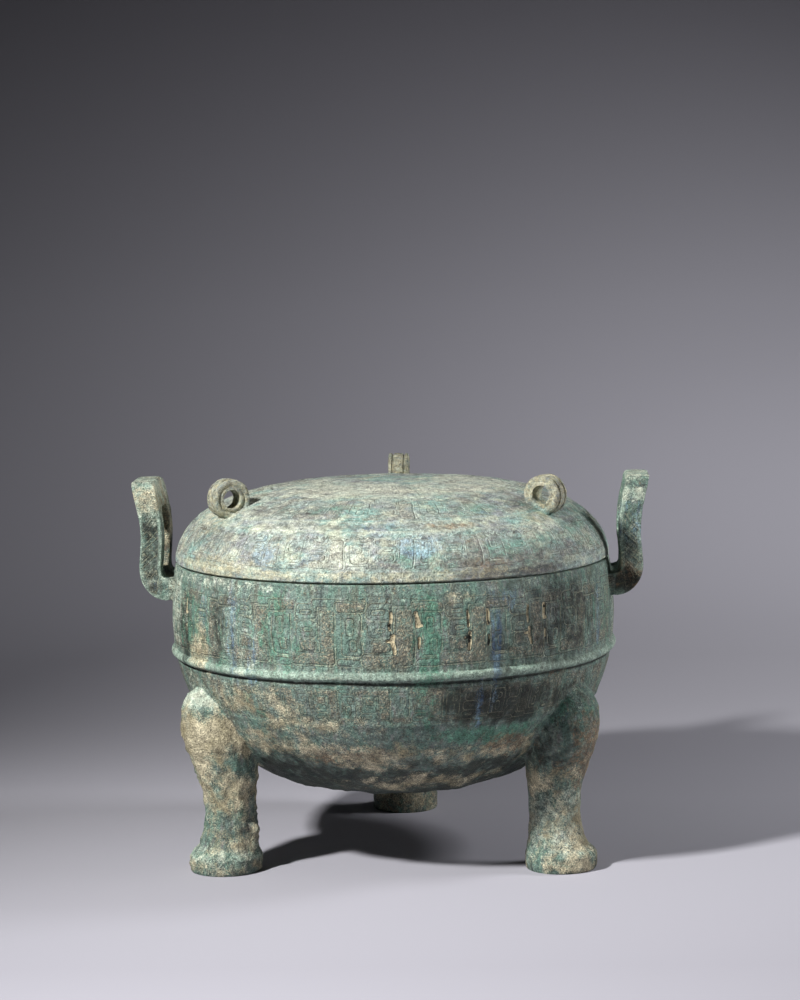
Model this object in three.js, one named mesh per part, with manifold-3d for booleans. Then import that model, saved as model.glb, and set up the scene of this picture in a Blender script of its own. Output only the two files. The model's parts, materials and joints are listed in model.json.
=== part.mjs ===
// A lidded bronze ding: a round cauldron on three hoof-shaped legs, with two upright
// S-curved handles and a domed lid that carries three ring knobs.
// Millimetres, +Z up. The origin is where the vessel's axis meets the floor.
// The handles stand at -X and +X, one leg and one ring knob point to +Y.
// The cauldron, its legs and its handles are one casting, and the lid is the other.

import * as THREE from "three";
import { mergeVertices } from "three/addons/utils/BufferGeometryUtils.js";
import Module from "manifold-3d";

const wasm = await Module();
wasm.setup();

// ---- driving dimensions -------------------------------------------------------------

const RIDGE_R = 147; // outer radius of the raised cord line round the belly
const ROUND_STEPS = 56; // facets round the vessel
const WALL = 4; // thickness of the cauldron's wall
const LID_WALL = 3.6; // thickness of the lid's wall

const SEAM_Z = 1.329 * RIDGE_R; // height of the shoulder that the lid sits on
const SEAM_R = 0.974 * RIDGE_R; // outer radius of that shoulder
const RIDGE_Z = 0.937 * RIDGE_R;
const RIDGE_HALF_HEIGHT = 3.4;
const BOTTOM_Z = 0.305 * RIDGE_R; // underside of the belly above the floor

const LIP_R = 137.4; // outer radius of the inner lip that keeps the lid in place
const LIP_WALL = 3.6;
const LIP_HEIGHT = 9;
const JOINT_GAP = 0.3; // the lid's seat stands this far off the shoulder

const DOME_HEIGHT = 0.336 * RIDGE_R; // from the lid's edge to its crown
const SLIT = 1.1; // height of the open slit that shows round the lid's edge
const SLIT_DEPTH = 2.2;

const LEG_COUNT = 3;
const LEG_STEPS = 18; // facets round a leg

const HANDLE_WIDTH = 56; // across the handle, along Y
const HANDLE_THICKNESS = 14.4;
const HANDLE_TOP = 1.697 * RIDGE_R;
const HANDLE_CORNER = 11; // radius of the two top corners
const SLOT_WIDTH = 29;
const SLOT_LOW = 1.30 * RIDGE_R;
const SLOT_HIGH = 1.565 * RIDGE_R;
const SLOT_CORNER = 5;

const KNOB_PLACE_R = 0.798 * RIDGE_R; // how far the ring knobs stand from the axis
const KNOB_Z = 1.642 * RIDGE_R; // height of a ring's centre
const KNOB_R = 0.089 * RIDGE_R;
const KNOB_HOLE_R = 5.8;
const KNOB_WIDTH = 13;
const KNOB_ROUND = 1.2; // rounding of the ring's outer edges
const KNOB_STEPS = 20;

// ---- solids and geometries ------------------------------------------------------------

/** A closed three.js geometry as a manifold solid. */
function solidOf(geometry) {
  const bare = geometry.index ? geometry.toNonIndexed() : geometry.clone();
  bare.deleteAttribute("normal");
  bare.deleteAttribute("uv");
  const merged = mergeVertices(bare, 1e-4);
  return new wasm.Manifold(
    new wasm.Mesh({
      numProp: 3,
      vertProperties: new Float32Array(merged.attributes.position.array),
      triVerts: new Uint32Array(merged.index.array),
    }),
  );
}

/** A manifold solid as a flat-shaded three.js geometry. */
function geometryOf(solid) {
  const mesh = solid.getMesh();
  const geometry = new THREE.BufferGeometry();
  geometry.setAttribute("position", new THREE.BufferAttribute(mesh.vertProperties, 3));
  geometry.setIndex(new THREE.BufferAttribute(mesh.triVerts, 1));
  const flat = geometry.toNonIndexed();
  flat.computeVertexNormals();
  return flat;
}

/** A profile of (radius, height) points, from the axis back to the axis, turned about Z. */
function turned(profile) {
  const upwards = profile.map((p) => new THREE.Vector2(Math.max(p.x, 0), p.y));
  const lathe = new THREE.LatheGeometry(upwards, ROUND_STEPS);
  lathe.rotateX(Math.PI / 2);
  return solidOf(lathe);
}

/** Points of a smooth curve through (radius, height) pairs given as shares of RIDGE_R. */
function curveThrough(shares, steps) {
  const points = shares.map(([r, z]) => new THREE.Vector2(r * RIDGE_R, z * RIDGE_R));
  return new THREE.SplineCurve(points).getPoints(steps);
}

/** The same curve moved inwards by a wall's thickness, square to itself. */
function inset(points, thickness) {
  return points.map((p, i) => {
    const before = points[Math.max(i - 1, 0)];
    const after = points[Math.min(i + 1, points.length - 1)];
    const along = after.clone().sub(before).normalize();
    return new THREE.Vector2(p.x - along.y * thickness, p.y + along.x * thickness);
  });
}

// ---- the cauldron -----------------------------------------------------------------------

/** The belly's outer curve without its raised line, from the bottom's middle to the shoulder. */
function bellyCurve() {
  const bottom = BOTTOM_Z / RIDGE_R;
  return curveThrough(
    [
      [0, bottom], [0.2, bottom + 0.004], [0.426, 0.336], [0.61, 0.404], [0.778, 0.531],
      [0.887, 0.67], [0.95, 0.806], [0.983, 0.937], [0.994, 1.06], [0.993, 1.16],
      [0.985, 1.26], [0.974, SEAM_Z / RIDGE_R],
    ],
    15,
  );
}

/** The raised line as steps of (outwards, upwards) from the belly's curve. */
function ridgeSteps() {
  const proud = RIDGE_R - 0.983 * RIDGE_R;
  return [-90, -40, 0, 40, 90].map((degrees) => {
    const angle = THREE.MathUtils.degToRad(degrees);
    return new THREE.Vector2(
      0.983 * RIDGE_R + proud * Math.cos(angle),
      RIDGE_Z + RIDGE_HALF_HEIGHT * Math.sin(angle),
    );
  });
}

/** Everything inside the cauldron's outer skin, with the inner lip on top. */
function bellyBody() {
  const near = RIDGE_HALF_HEIGHT + 1.5;
  const curve = bellyCurve();
  const below = curve.filter((p) => p.y < RIDGE_Z - near);
  const above = curve.filter((p) => p.y > RIDGE_Z + near);
  return turned([
    ...below,
    ...ridgeSteps(),
    ...above,
    new THREE.Vector2(LIP_R, SEAM_Z),
    new THREE.Vector2(LIP_R, SEAM_Z + LIP_HEIGHT),
    new THREE.Vector2(0, SEAM_Z + LIP_HEIGHT),
  ]);
}

/** The hollow of the cauldron, open at the top. */
function bellyHollow() {
  const mouth = LIP_R - LIP_WALL;
  const walls = inset(bellyCurve(), WALL);
  const kept = walls.filter((p) => p.y < SEAM_Z - 14);
  return turned([
    new THREE.Vector2(0, BOTTOM_Z + WALL),
    ...kept.filter((p) => p.x > 5),
    new THREE.Vector2(mouth, SEAM_Z - 2),
    new THREE.Vector2(mouth, SEAM_Z + LIP_HEIGHT + 1),
    new THREE.Vector2(0, SEAM_Z + LIP_HEIGHT + 1),
  ]);
}

// ---- legs -------------------------------------------------------------------------------

// Height, distance of the section's middle from the axis, half depth and half width, as
// shares of RIDGE_R: the hoof's disc, the waist, the swelling knee and the round top.
const LEG_SECTIONS = [
  [0.0, 0.8535, 0.1545, 0.1545], [0.066, 0.8535, 0.1555, 0.1555],
  [0.083, 0.851, 0.1475, 0.1475], [0.113, 0.838, 0.131, 0.131], [0.17, 0.829, 0.118, 0.1185],
  [0.25, 0.825, 0.11, 0.112], [0.34, 0.826, 0.114, 0.118], [0.42, 0.833, 0.129, 0.135],
  [0.5, 0.848, 0.143, 0.152], [0.58, 0.871, 0.149, 0.16], [0.65, 0.888, 0.143, 0.156],
  [0.715, 0.9, 0.126, 0.138], [0.77, 0.908, 0.1, 0.108], [0.81, 0.915, 0.063, 0.066],
  [0.828, 0.918, 0.026, 0.028],
];

/** One leg along +X, as a stack of round sections closed at both ends. */
function leg() {
  const positions = [];
  const faces = [];
  for (const [z, middle, halfDepth, halfWidth] of LEG_SECTIONS) {
    for (let step = 0; step < LEG_STEPS; step += 1) {
      const angle = (2 * Math.PI * step) / LEG_STEPS;
      positions.push(
        RIDGE_R * (middle + halfDepth * Math.cos(angle)),
        RIDGE_R * halfWidth * Math.sin(angle),
        RIDGE_R * z,
      );
    }
  }
  const last = LEG_SECTIONS.length - 1;
  for (let level = 0; level < last; level += 1) {
    for (let step = 0; step < LEG_STEPS; step += 1) {
      const a = level * LEG_STEPS + step;
      const b = level * LEG_STEPS + ((step + 1) % LEG_STEPS);
      faces.push(a, b, b + LEG_STEPS, a, b + LEG_STEPS, a + LEG_STEPS);
    }
  }
  for (let step = 1; step < LEG_STEPS - 1; step += 1) {
    const top = last * LEG_STEPS;
    faces.push(0, step + 1, step, top, top + step, top + step + 1);
  }
  const geometry = new THREE.BufferGeometry();
  geometry.setAttribute("position", new THREE.Float32BufferAttribute(positions, 3));
  geometry.setIndex(faces);
  return solidOf(geometry);
}

// ---- handles ----------------------------------------------------------------------------

/** The middle line of a handle at +X, from inside the wall, round the bend and up. */
function handleLine() {
  return curveThrough(
    [
      [0.965, 1.217], [1.005, 1.218], [1.042, 1.232], [1.066, 1.265], [1.073, 1.31],
      [1.067, 1.39], [1.064, 1.46], [1.071, 1.54], [1.087, 1.62], [1.108, 1.71],
    ],
    16,
  );
}

/** The S-curved strip of the handle, as wide as the handle and a little too tall. */
function handleStrip() {
  const line = handleLine();
  const inner = inset(line, HANDLE_THICKNESS / 2);
  const outer = inset(line, -HANDLE_THICKNESS / 2);
  const outline = new THREE.Shape([...outer, ...inner.reverse()]);
  const strip = new THREE.ExtrudeGeometry(outline, {
    depth: HANDLE_WIDTH,
    bevelEnabled: false,
  });
  strip.rotateX(Math.PI / 2);
  strip.translate(0, HANDLE_WIDTH / 2, 0);
  return solidOf(strip);
}

/** The corners of an upright rectangle in the middle of X, each rounded in four steps. */
function roundedRectangle(width, low, high, lowCorner, highCorner) {
  const half = width / 2;
  const corner = (side, rise, y, radius, start) => {
    const x = side * (half - radius);
    return [0, 1, 2, 3, 4].map((step) => {
      const angle = start + (Math.PI / 2) * (step / 4);
      return new THREE.Vector2(
        x + radius * Math.cos(angle),
        y - rise * radius + radius * Math.sin(angle),
      );
    });
  };
  return [
    ...corner(1, -1, low, lowCorner, -Math.PI / 2),
    ...corner(1, 1, high, highCorner, 0),
    ...corner(-1, 1, high, highCorner, Math.PI / 2),
    ...corner(-1, -1, low, lowCorner, Math.PI),
  ];
}

/** The handle seen from its side: round top corners, with the finger slot cut out. */
function handleFace() {
  const outline = new THREE.Shape(
    roundedRectangle(HANDLE_WIDTH, RIDGE_R, HANDLE_TOP, SLOT_CORNER, HANDLE_CORNER),
  );
  outline.holes.push(
    new THREE.Path(
      roundedRectangle(SLOT_WIDTH, SLOT_LOW, SLOT_HIGH, SLOT_CORNER, SLOT_CORNER),
    ),
  );
  const face = new THREE.ExtrudeGeometry(outline, { depth: RIDGE_R / 2, bevelEnabled: false });
  // The shape's x runs along Y, its y along Z, and the extrusion along X.
  face.rotateX(Math.PI / 2);
  face.rotateZ(Math.PI / 2);
  face.translate(RIDGE_R * 0.8, 0, 0);
  return solidOf(face);
}

/** One handle at +X. */
function handle() {
  return handleStrip().intersect(handleFace());
}

// ---- the lid ----------------------------------------------------------------------------

/** The lid's outer curve from its crown to its edge: a dome with full shoulders. */
function domeCurve(height, radius, edgeZ, steps) {
  const points = [];
  for (let step = 0; step <= steps; step += 1) {
    const share = Math.sin((Math.PI / 2) * (step / steps));
    const drop = Math.sqrt(Math.max(1 - share ** 3.6, 0));
    const crown = 1.2 * (1 - share) ** 2;
    points.push(new THREE.Vector2(radius * share, edgeZ + height * drop + crown));
  }
  return points;
}

/** The domed shell of the lid, with a low slit under its edge. */
function lidShell() {
  const seatZ = SEAM_Z + JOINT_GAP;
  const edgeZ = SEAM_Z + SLIT;
  const outer = turned([
    ...domeCurve(DOME_HEIGHT, SEAM_R, edgeZ, 15),
    new THREE.Vector2(SEAM_R - SLIT_DEPTH, edgeZ),
    new THREE.Vector2(SEAM_R - SLIT_DEPTH, seatZ),
    new THREE.Vector2(0, seatZ),
  ].reverse());
  return outer;
}

/** The hollow under the lid, which the cauldron's lip reaches into. */
function lidHollow() {
  const seatZ = SEAM_Z + JOINT_GAP;
  const ceiling = domeCurve(DOME_HEIGHT - LID_WALL, SEAM_R - LID_WALL, seatZ, 8);
  const clear = LIP_R + JOINT_GAP;
  return turned([
    ...ceiling.filter((p) => p.x < clear - 0.5),
    new THREE.Vector2(clear, seatZ + LIP_HEIGHT + 1),
    new THREE.Vector2(clear, seatZ - 1),
    new THREE.Vector2(0, seatZ - 1),
  ].reverse());
}

/** One ring knob at +X: a short thick ring that stands on edge and points to the axis. */
function knob() {
  const half = KNOB_WIDTH / 2;
  const profile = [
    [KNOB_HOLE_R, -half], [KNOB_R - KNOB_ROUND, -half], [KNOB_R, -half + KNOB_ROUND],
    [KNOB_R, half - KNOB_ROUND], [KNOB_R - KNOB_ROUND, half], [KNOB_HOLE_R, half],
    [KNOB_HOLE_R, -half],
  ].map(([r, y]) => new THREE.Vector2(r, y));
  const ring = new THREE.LatheGeometry(profile, KNOB_STEPS);
  ring.translate(KNOB_PLACE_R, 0, KNOB_Z);
  return solidOf(ring);
}

// ---- the two castings -------------------------------------------------------------------

/** Copies of a solid turned about Z to each of the given angles in degrees. */
function around(solid, angles) {
  return angles.map((angle) => solid.rotate([0, 0, angle]));
}

const legAngles = Array.from({ length: LEG_COUNT }, (_, i) => 90 + (360 / LEG_COUNT) * i);

const cauldronSolid = [...around(leg(), legAngles), ...around(handle(), [0, 180])]
  .reduce((whole, piece) => whole.add(piece), bellyBody())
  .subtract(bellyHollow());

const lidSolid = around(knob(), legAngles)
  .reduce((whole, piece) => whole.add(piece), lidShell())
  .subtract(lidHollow());

const patina = new THREE.MeshStandardMaterial({ color: 0x5e7468, roughness: 0.78, metalness: 0.35 });
const palePatina = new THREE.MeshStandardMaterial({ color: 0x8f9a88, roughness: 0.85, metalness: 0.2 });

const cauldron = new THREE.Mesh(geometryOf(cauldronSolid), patina);
cauldron.name = "cauldron";

const lid = new THREE.Mesh(geometryOf(lidSolid), palePatina);
lid.name = "lid";

const ding = new THREE.Group();
ding.add(cauldron, lid);

export default ding;
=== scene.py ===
"""The looks of a lidded bronze ding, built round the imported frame.

Two castings stand on a plain floor: the cauldron with its legs and handles, and the lid with its
three ring knobs. Each is modelled as one closed mesh with its relief in real geometry, and each
carries a corroded bronze finish. Lengths are in metres, and +Z is up.
"""

import sys
import json
import logging
import math
from collections.abc import Callable, Iterator, Sequence
from contextlib import contextmanager
from dataclasses import dataclass, field
from enum import Enum

import bpy
import numpy as np
from mathutils import Matrix, Vector

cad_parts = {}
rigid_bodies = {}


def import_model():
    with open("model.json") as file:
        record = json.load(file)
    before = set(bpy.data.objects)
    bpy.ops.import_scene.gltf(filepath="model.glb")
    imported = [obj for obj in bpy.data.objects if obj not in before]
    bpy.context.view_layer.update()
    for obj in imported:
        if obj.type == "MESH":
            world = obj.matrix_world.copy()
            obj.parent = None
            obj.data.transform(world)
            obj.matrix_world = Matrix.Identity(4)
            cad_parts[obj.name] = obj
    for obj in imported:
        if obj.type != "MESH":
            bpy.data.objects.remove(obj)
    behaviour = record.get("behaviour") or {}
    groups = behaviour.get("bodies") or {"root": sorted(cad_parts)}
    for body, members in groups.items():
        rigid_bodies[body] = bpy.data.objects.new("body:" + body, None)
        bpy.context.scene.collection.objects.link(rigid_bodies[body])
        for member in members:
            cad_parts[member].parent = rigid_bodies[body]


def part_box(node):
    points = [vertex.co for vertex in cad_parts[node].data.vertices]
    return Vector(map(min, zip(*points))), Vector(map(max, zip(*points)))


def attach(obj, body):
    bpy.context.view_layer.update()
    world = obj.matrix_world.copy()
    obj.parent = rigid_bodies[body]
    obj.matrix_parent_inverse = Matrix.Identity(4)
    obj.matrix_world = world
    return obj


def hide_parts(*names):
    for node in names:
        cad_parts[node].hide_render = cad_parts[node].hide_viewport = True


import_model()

LOG = logging.getLogger("ding")
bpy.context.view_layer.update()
MM = 0.001
TURN = 2 * math.pi
LEG_TURNS = tuple(math.radians(90 + 120 * i) for i in range(3))
RIDGE_R = -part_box("cauldron")[0][1]
SEAM_RADIUS = 0.974 * RIDGE_R
SEAM_HEIGHT = 1.329 * RIDGE_R
LIP_RADIUS = 137.4 * MM
LIP_RISE = 9 * MM


# ---- numbers over many points ---------------------------------------------------------------


def step_between(low: float, high: float, value: np.ndarray) -> np.ndarray:
    """A smooth step from 0 at low to 1 at high.

    Args:
        low: Where the step starts.
        high: Where the step ends. It may be less than low, for a falling step.
        value: The values to pass through the step.

    Returns:
        The stepped values, from 0 to 1.
    """
    share = np.clip((value - low) / (high - low), 0, 1)
    return share * share * (3 - 2 * share)


def near(value: np.ndarray, middle: float, width: float) -> np.ndarray:
    """A bell that is 1 at the middle and falls off over a width."""
    return np.exp(-(((value - middle) / width) ** 2))


def angle_apart(turn: np.ndarray, other: float) -> np.ndarray:
    """The signed angle from other to turn, within half a turn."""
    return (turn - other + math.pi) % TURN - math.pi


@dataclass(frozen=True)
class Grain:
    """Seeded smooth noise through space."""

    seed: int

    def _corner(self, cell: np.ndarray) -> np.ndarray:
        """A fixed value from -1 to 1 for each whole-number cell."""
        mixed = cell[:, 0] * 73856093 ^ cell[:, 1] * 19349663 ^ cell[:, 2] * 83492791
        mixed = (mixed ^ (self.seed * 2654435761)) & 0x7FFFFFFF
        mixed = ((mixed ^ (mixed >> 13)) * 1274126177) & 0x7FFFFFFF
        mixed = ((mixed ^ (mixed >> 15)) * 974634373) & 0x7FFFFFFF
        return ((mixed >> 8) & 0xFFFF) / 32767.5 - 1

    def at(self, points: np.ndarray, size: float | tuple[float, float, float]) -> np.ndarray:
        """Noise from -1 to 1.

        Args:
            points: One row of x, y and z per point.
            size: How large one lump is, the same each way or one size for each axis.

        Returns:
            One value per point.
        """
        scaled = points / np.asarray(size)
        base = np.floor(scaled).astype(np.int64)
        part = scaled - base
        part = part * part * part * (part * (part * 6 - 15) + 10)
        total = np.zeros(len(points))
        for corner in range(8):
            offset = np.array([corner & 1, corner >> 1 & 1, corner >> 2 & 1])
            weight = np.prod(np.where(offset, part, 1 - part), axis=1)
            total += weight * self._corner(base + offset)
        return total

    def layered(
        self, points: np.ndarray, size: float | tuple[float, float, float], octaves: int = 3
    ) -> np.ndarray:
        """Noise with finer and weaker layers on top, from about -1 to 1."""
        total = np.zeros(len(points))
        for octave in range(octaves):
            finer = np.asarray(size) / 2**octave
            total += self.at(points + octave * 0.37, finer) / 2**octave
        return total / (2 - 0.5 ** (octaves - 1))


def smooth_curve(stations: Sequence[tuple[float, float]], steps: int) -> np.ndarray:
    """Points of an even curve through stations.

    Args:
        stations: Pairs of numbers that the curve goes through.
        steps: How many steps the whole curve is cut into.

    Returns:
        One row per point.
    """
    knots = np.asarray(stations, dtype=float)
    last = len(knots) - 1
    places = np.linspace(0, last, steps + 1)
    lower = np.minimum(places.astype(int), last - 1)
    part = (places - lower)[:, None]
    before, here = knots[np.maximum(lower - 1, 0)], knots[lower]
    there, after = knots[lower + 1], knots[np.minimum(lower + 2, last)]
    out, into = (there - before) / 2, (after - here) / 2
    return (
        (2 * here - 2 * there + out + into) * part**3
        + (-3 * here + 3 * there - 2 * out - into) * part**2
        + out * part
        + here
    )


# ---- the bench: modelling operators on one piece --------------------------------------------


class Bench:
    """Operators in edit mode, each on parts of the piece chosen by place."""

    @staticmethod
    def clear() -> None:
        """Deselects everything, so that an operator touches only its own piece."""
        for thing in bpy.context.view_layer.objects:
            thing.select_set(False)

    @staticmethod
    def take(piece: bpy.types.Object) -> None:
        """Makes a piece the only selected one."""
        Bench.clear()
        piece.select_set(True)
        bpy.context.view_layer.objects.active = piece

    @staticmethod
    @contextmanager
    def editing(piece: bpy.types.Object) -> Iterator[None]:
        """Edit mode for as long as the block lasts."""
        Bench.take(piece)
        bpy.ops.object.mode_set(mode="EDIT")
        yield
        bpy.ops.object.mode_set(mode="OBJECT")

    @staticmethod
    def ring(name: str, radius: float, height: float, columns: int) -> bpy.types.Object:
        """A new circle of vertices round the axis.

        Args:
            name: The new piece's name.
            radius: The circle's radius.
            height: How high it lies.
            columns: How many vertices it has.

        Returns:
            The new piece.
        """
        Bench.clear()
        bpy.ops.mesh.primitive_circle_add(
            vertices=columns, radius=radius, fill_type="NOTHING", location=(0, 0, height)
        )
        piece = bpy.context.object
        piece.name = piece.data.name = name
        bpy.ops.object.transform_apply(location=True, rotation=True, scale=True)
        return piece

    @staticmethod
    def raise_rings(piece: bpy.types.Object, stations: Sequence[tuple[float, float]]) -> None:
        """Extrudes a circle's rim ring by ring through (radius, height) stations.

        Args:
            piece: A piece that is one circle, the first station.
            stations: The further stations, in order.
        """
        radius = math.hypot(*piece.data.vertices[0].co[:2])
        height = piece.data.vertices[0].co.z
        with Bench.editing(piece):
            bpy.ops.mesh.select_all(action="SELECT")
            for next_radius, next_height in stations:
                bpy.ops.mesh.extrude_edges_move(
                    TRANSFORM_OT_translate={"value": (0, 0, next_height - height)}
                )
                share = next_radius / radius
                bpy.ops.transform.resize(value=(share, share, 1), center_override=(0, 0, next_height))
                radius, height = next_radius, next_height

    @staticmethod
    def pick_rims() -> None:
        """Selects every open rim of the piece being edited."""
        bpy.ops.mesh.select_all(action="DESELECT")
        bpy.ops.mesh.select_mode(type="EDGE")
        bpy.ops.mesh.select_non_manifold()

    @staticmethod
    def face_outwards() -> None:
        """Turns all faces of the piece being edited outwards."""
        bpy.ops.mesh.select_all(action="SELECT")
        bpy.ops.mesh.normals_make_consistent(inside=False)

    @staticmethod
    def close(piece: bpy.types.Object) -> None:
        """Fills every open rim, and turns all faces outwards."""
        with Bench.editing(piece):
            Bench.pick_rims()
            bpy.ops.mesh.edge_face_add()
            Bench.face_outwards()

    @staticmethod
    def select_faces(piece: bpy.types.Object, chosen: Callable[[np.ndarray], np.ndarray]) -> None:
        """Selects the faces whose middles pass a test. The piece must be in object mode.

        Args:
            piece: The piece.
            chosen: Gives True or False for each row of x, y and z.
        """
        mesh = piece.data
        centres = np.empty(len(mesh.polygons) * 3)
        mesh.polygons.foreach_get("center", centres)
        flags = chosen(centres.reshape(-1, 3))
        mesh.vertices.foreach_set("select", np.zeros(len(mesh.vertices), dtype=bool))
        mesh.edges.foreach_set("select", np.zeros(len(mesh.edges), dtype=bool))
        mesh.polygons.foreach_set("select", flags)

    @staticmethod
    def refine(piece: bpy.types.Object, cuts: int, chosen: Callable[[np.ndarray], np.ndarray]) -> None:
        """Cuts the chosen faces into finer ones, each edge by the given number of cuts."""
        with Bench.editing(piece):
            bpy.ops.mesh.select_mode(type="FACE")
        Bench.select_faces(piece, chosen)
        with Bench.editing(piece):
            bpy.ops.mesh.subdivide(number_cuts=cuts)

    @staticmethod
    def points(piece: bpy.types.Object) -> np.ndarray:
        """The places of a piece's vertices, one row each."""
        flat = np.empty(len(piece.data.vertices) * 3)
        piece.data.vertices.foreach_get("co", flat)
        return flat.reshape(-1, 3)

    @staticmethod
    def place(piece: bpy.types.Object, points: np.ndarray) -> None:
        """Moves a piece's vertices to new places."""
        piece.data.vertices.foreach_set("co", points.ravel())
        piece.data.update()

    @staticmethod
    def outwards(piece: bpy.types.Object) -> np.ndarray:
        """The outward directions at a piece's vertices, one row each."""
        flat = np.empty(len(piece.data.vertices) * 3)
        piece.data.vertex_normals.foreach_get("vector", flat)
        return flat.reshape(-1, 3)

    @staticmethod
    def combine(piece: bpy.types.Object, tool: bpy.types.Object, operation: str) -> None:
        """Joins a tool piece to a piece, or cuts it away, and removes the tool.

        Args:
            piece: The piece that is kept.
            tool: The closed piece that is joined or cut away.
            operation: UNION or DIFFERENCE.
        """
        Bench.take(piece)
        modifier = piece.modifiers.new("join", "BOOLEAN")
        modifier.operation = operation
        modifier.solver = "MANIFOLD"
        modifier.object = tool
        bpy.ops.object.modifier_apply(modifier=modifier.name)
        bpy.data.objects.remove(tool, do_unlink=True)

    @staticmethod
    def hold_inside(piece: bpy.types.Object, node: str) -> None:
        """Presses the last tenths of a millimetre of crust back into a node's box."""
        low, high = (np.array(corner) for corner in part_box(node))
        Bench.place(piece, np.clip(Bench.points(piece), low, high))

    @staticmethod
    def soften(piece: bpy.types.Object, weight: np.ndarray, rounds: int) -> None:
        """Draws each vertex towards the middle of its neighbours.

        Args:
            piece: The piece.
            weight: How much each vertex gives way, from 0 to 1.
            rounds: How often it is done.
        """
        mesh = piece.data
        edges = np.empty(len(mesh.edges) * 2, dtype=np.int64)
        mesh.edges.foreach_get("vertices", edges)
        one, two = edges.reshape(-1, 2).T
        count = np.bincount(edges, minlength=len(mesh.vertices))[:, None]
        points = Bench.points(piece)
        for _ in range(rounds):
            total = np.zeros_like(points)
            for axis in range(3):
                total[:, axis] += np.bincount(one, points[two, axis], len(points))
                total[:, axis] += np.bincount(two, points[one, axis], len(points))
            points += (total / np.maximum(count, 1) - points) * weight[:, None]
        Bench.place(piece, points)

    @staticmethod
    def tag(piece: bpy.types.Object, name: str, values: np.ndarray) -> None:
        """Stores one number per vertex under a name that the finish reads."""
        layer = piece.data.attributes.new(name, "FLOAT", "POINT")
        layer.data.foreach_set("value", np.clip(values, 0, 1).astype(np.float32))

    @staticmethod
    def smooth(piece: bpy.types.Object, degrees: float) -> None:
        """Shades a piece smooth, but keeps edges sharper than an angle."""
        Bench.take(piece)
        bpy.ops.object.shade_smooth_by_angle(angle=math.radians(degrees))


# ---- relief ---------------------------------------------------------------------------------


@dataclass(frozen=True)
class Stroke:
    """One flat band of the interlace: an upright rectangle with round corners, in millimetres."""

    across: float
    up: float
    half_across: float
    half_up: float
    corner: float = 2.6

    def distance(self, across: np.ndarray, up: np.ndarray) -> np.ndarray:
        """How far points lie outside the band's outline, less than 0 inside it."""
        side = np.abs(across - self.across) - self.half_across + self.corner
        rise = np.abs(up - self.up) - self.half_up + self.corner
        outside = np.hypot(np.maximum(side, 0), np.maximum(rise, 0))
        return outside + np.minimum(np.maximum(side, rise), 0) - self.corner


FAR = 3.0  # an outline this many millimetres away leaves no mark


@dataclass(frozen=True)
class Marks:
    """The relief at each point: signed distances to its outlines in mm, and its depth."""

    outline: np.ndarray
    inner: np.ndarray
    slot: np.ndarray
    curls: np.ndarray  # 1 on a band filled with small curls
    depth: np.ndarray  # how deep it is cut, in metres

    @staticmethod
    def over(first: "Marks", second: "Marks") -> "Marks":
        """Two reliefs that lie beside each other, as one."""
        return Marks(
            np.where(np.abs(first.outline) < np.abs(second.outline), first.outline, second.outline),
            np.where(np.abs(first.inner) < np.abs(second.inner), first.inner, second.inner),
            np.minimum(first.slot, second.slot),
            np.maximum(first.curls, second.curls),
            first.depth + second.depth,
        )


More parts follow.
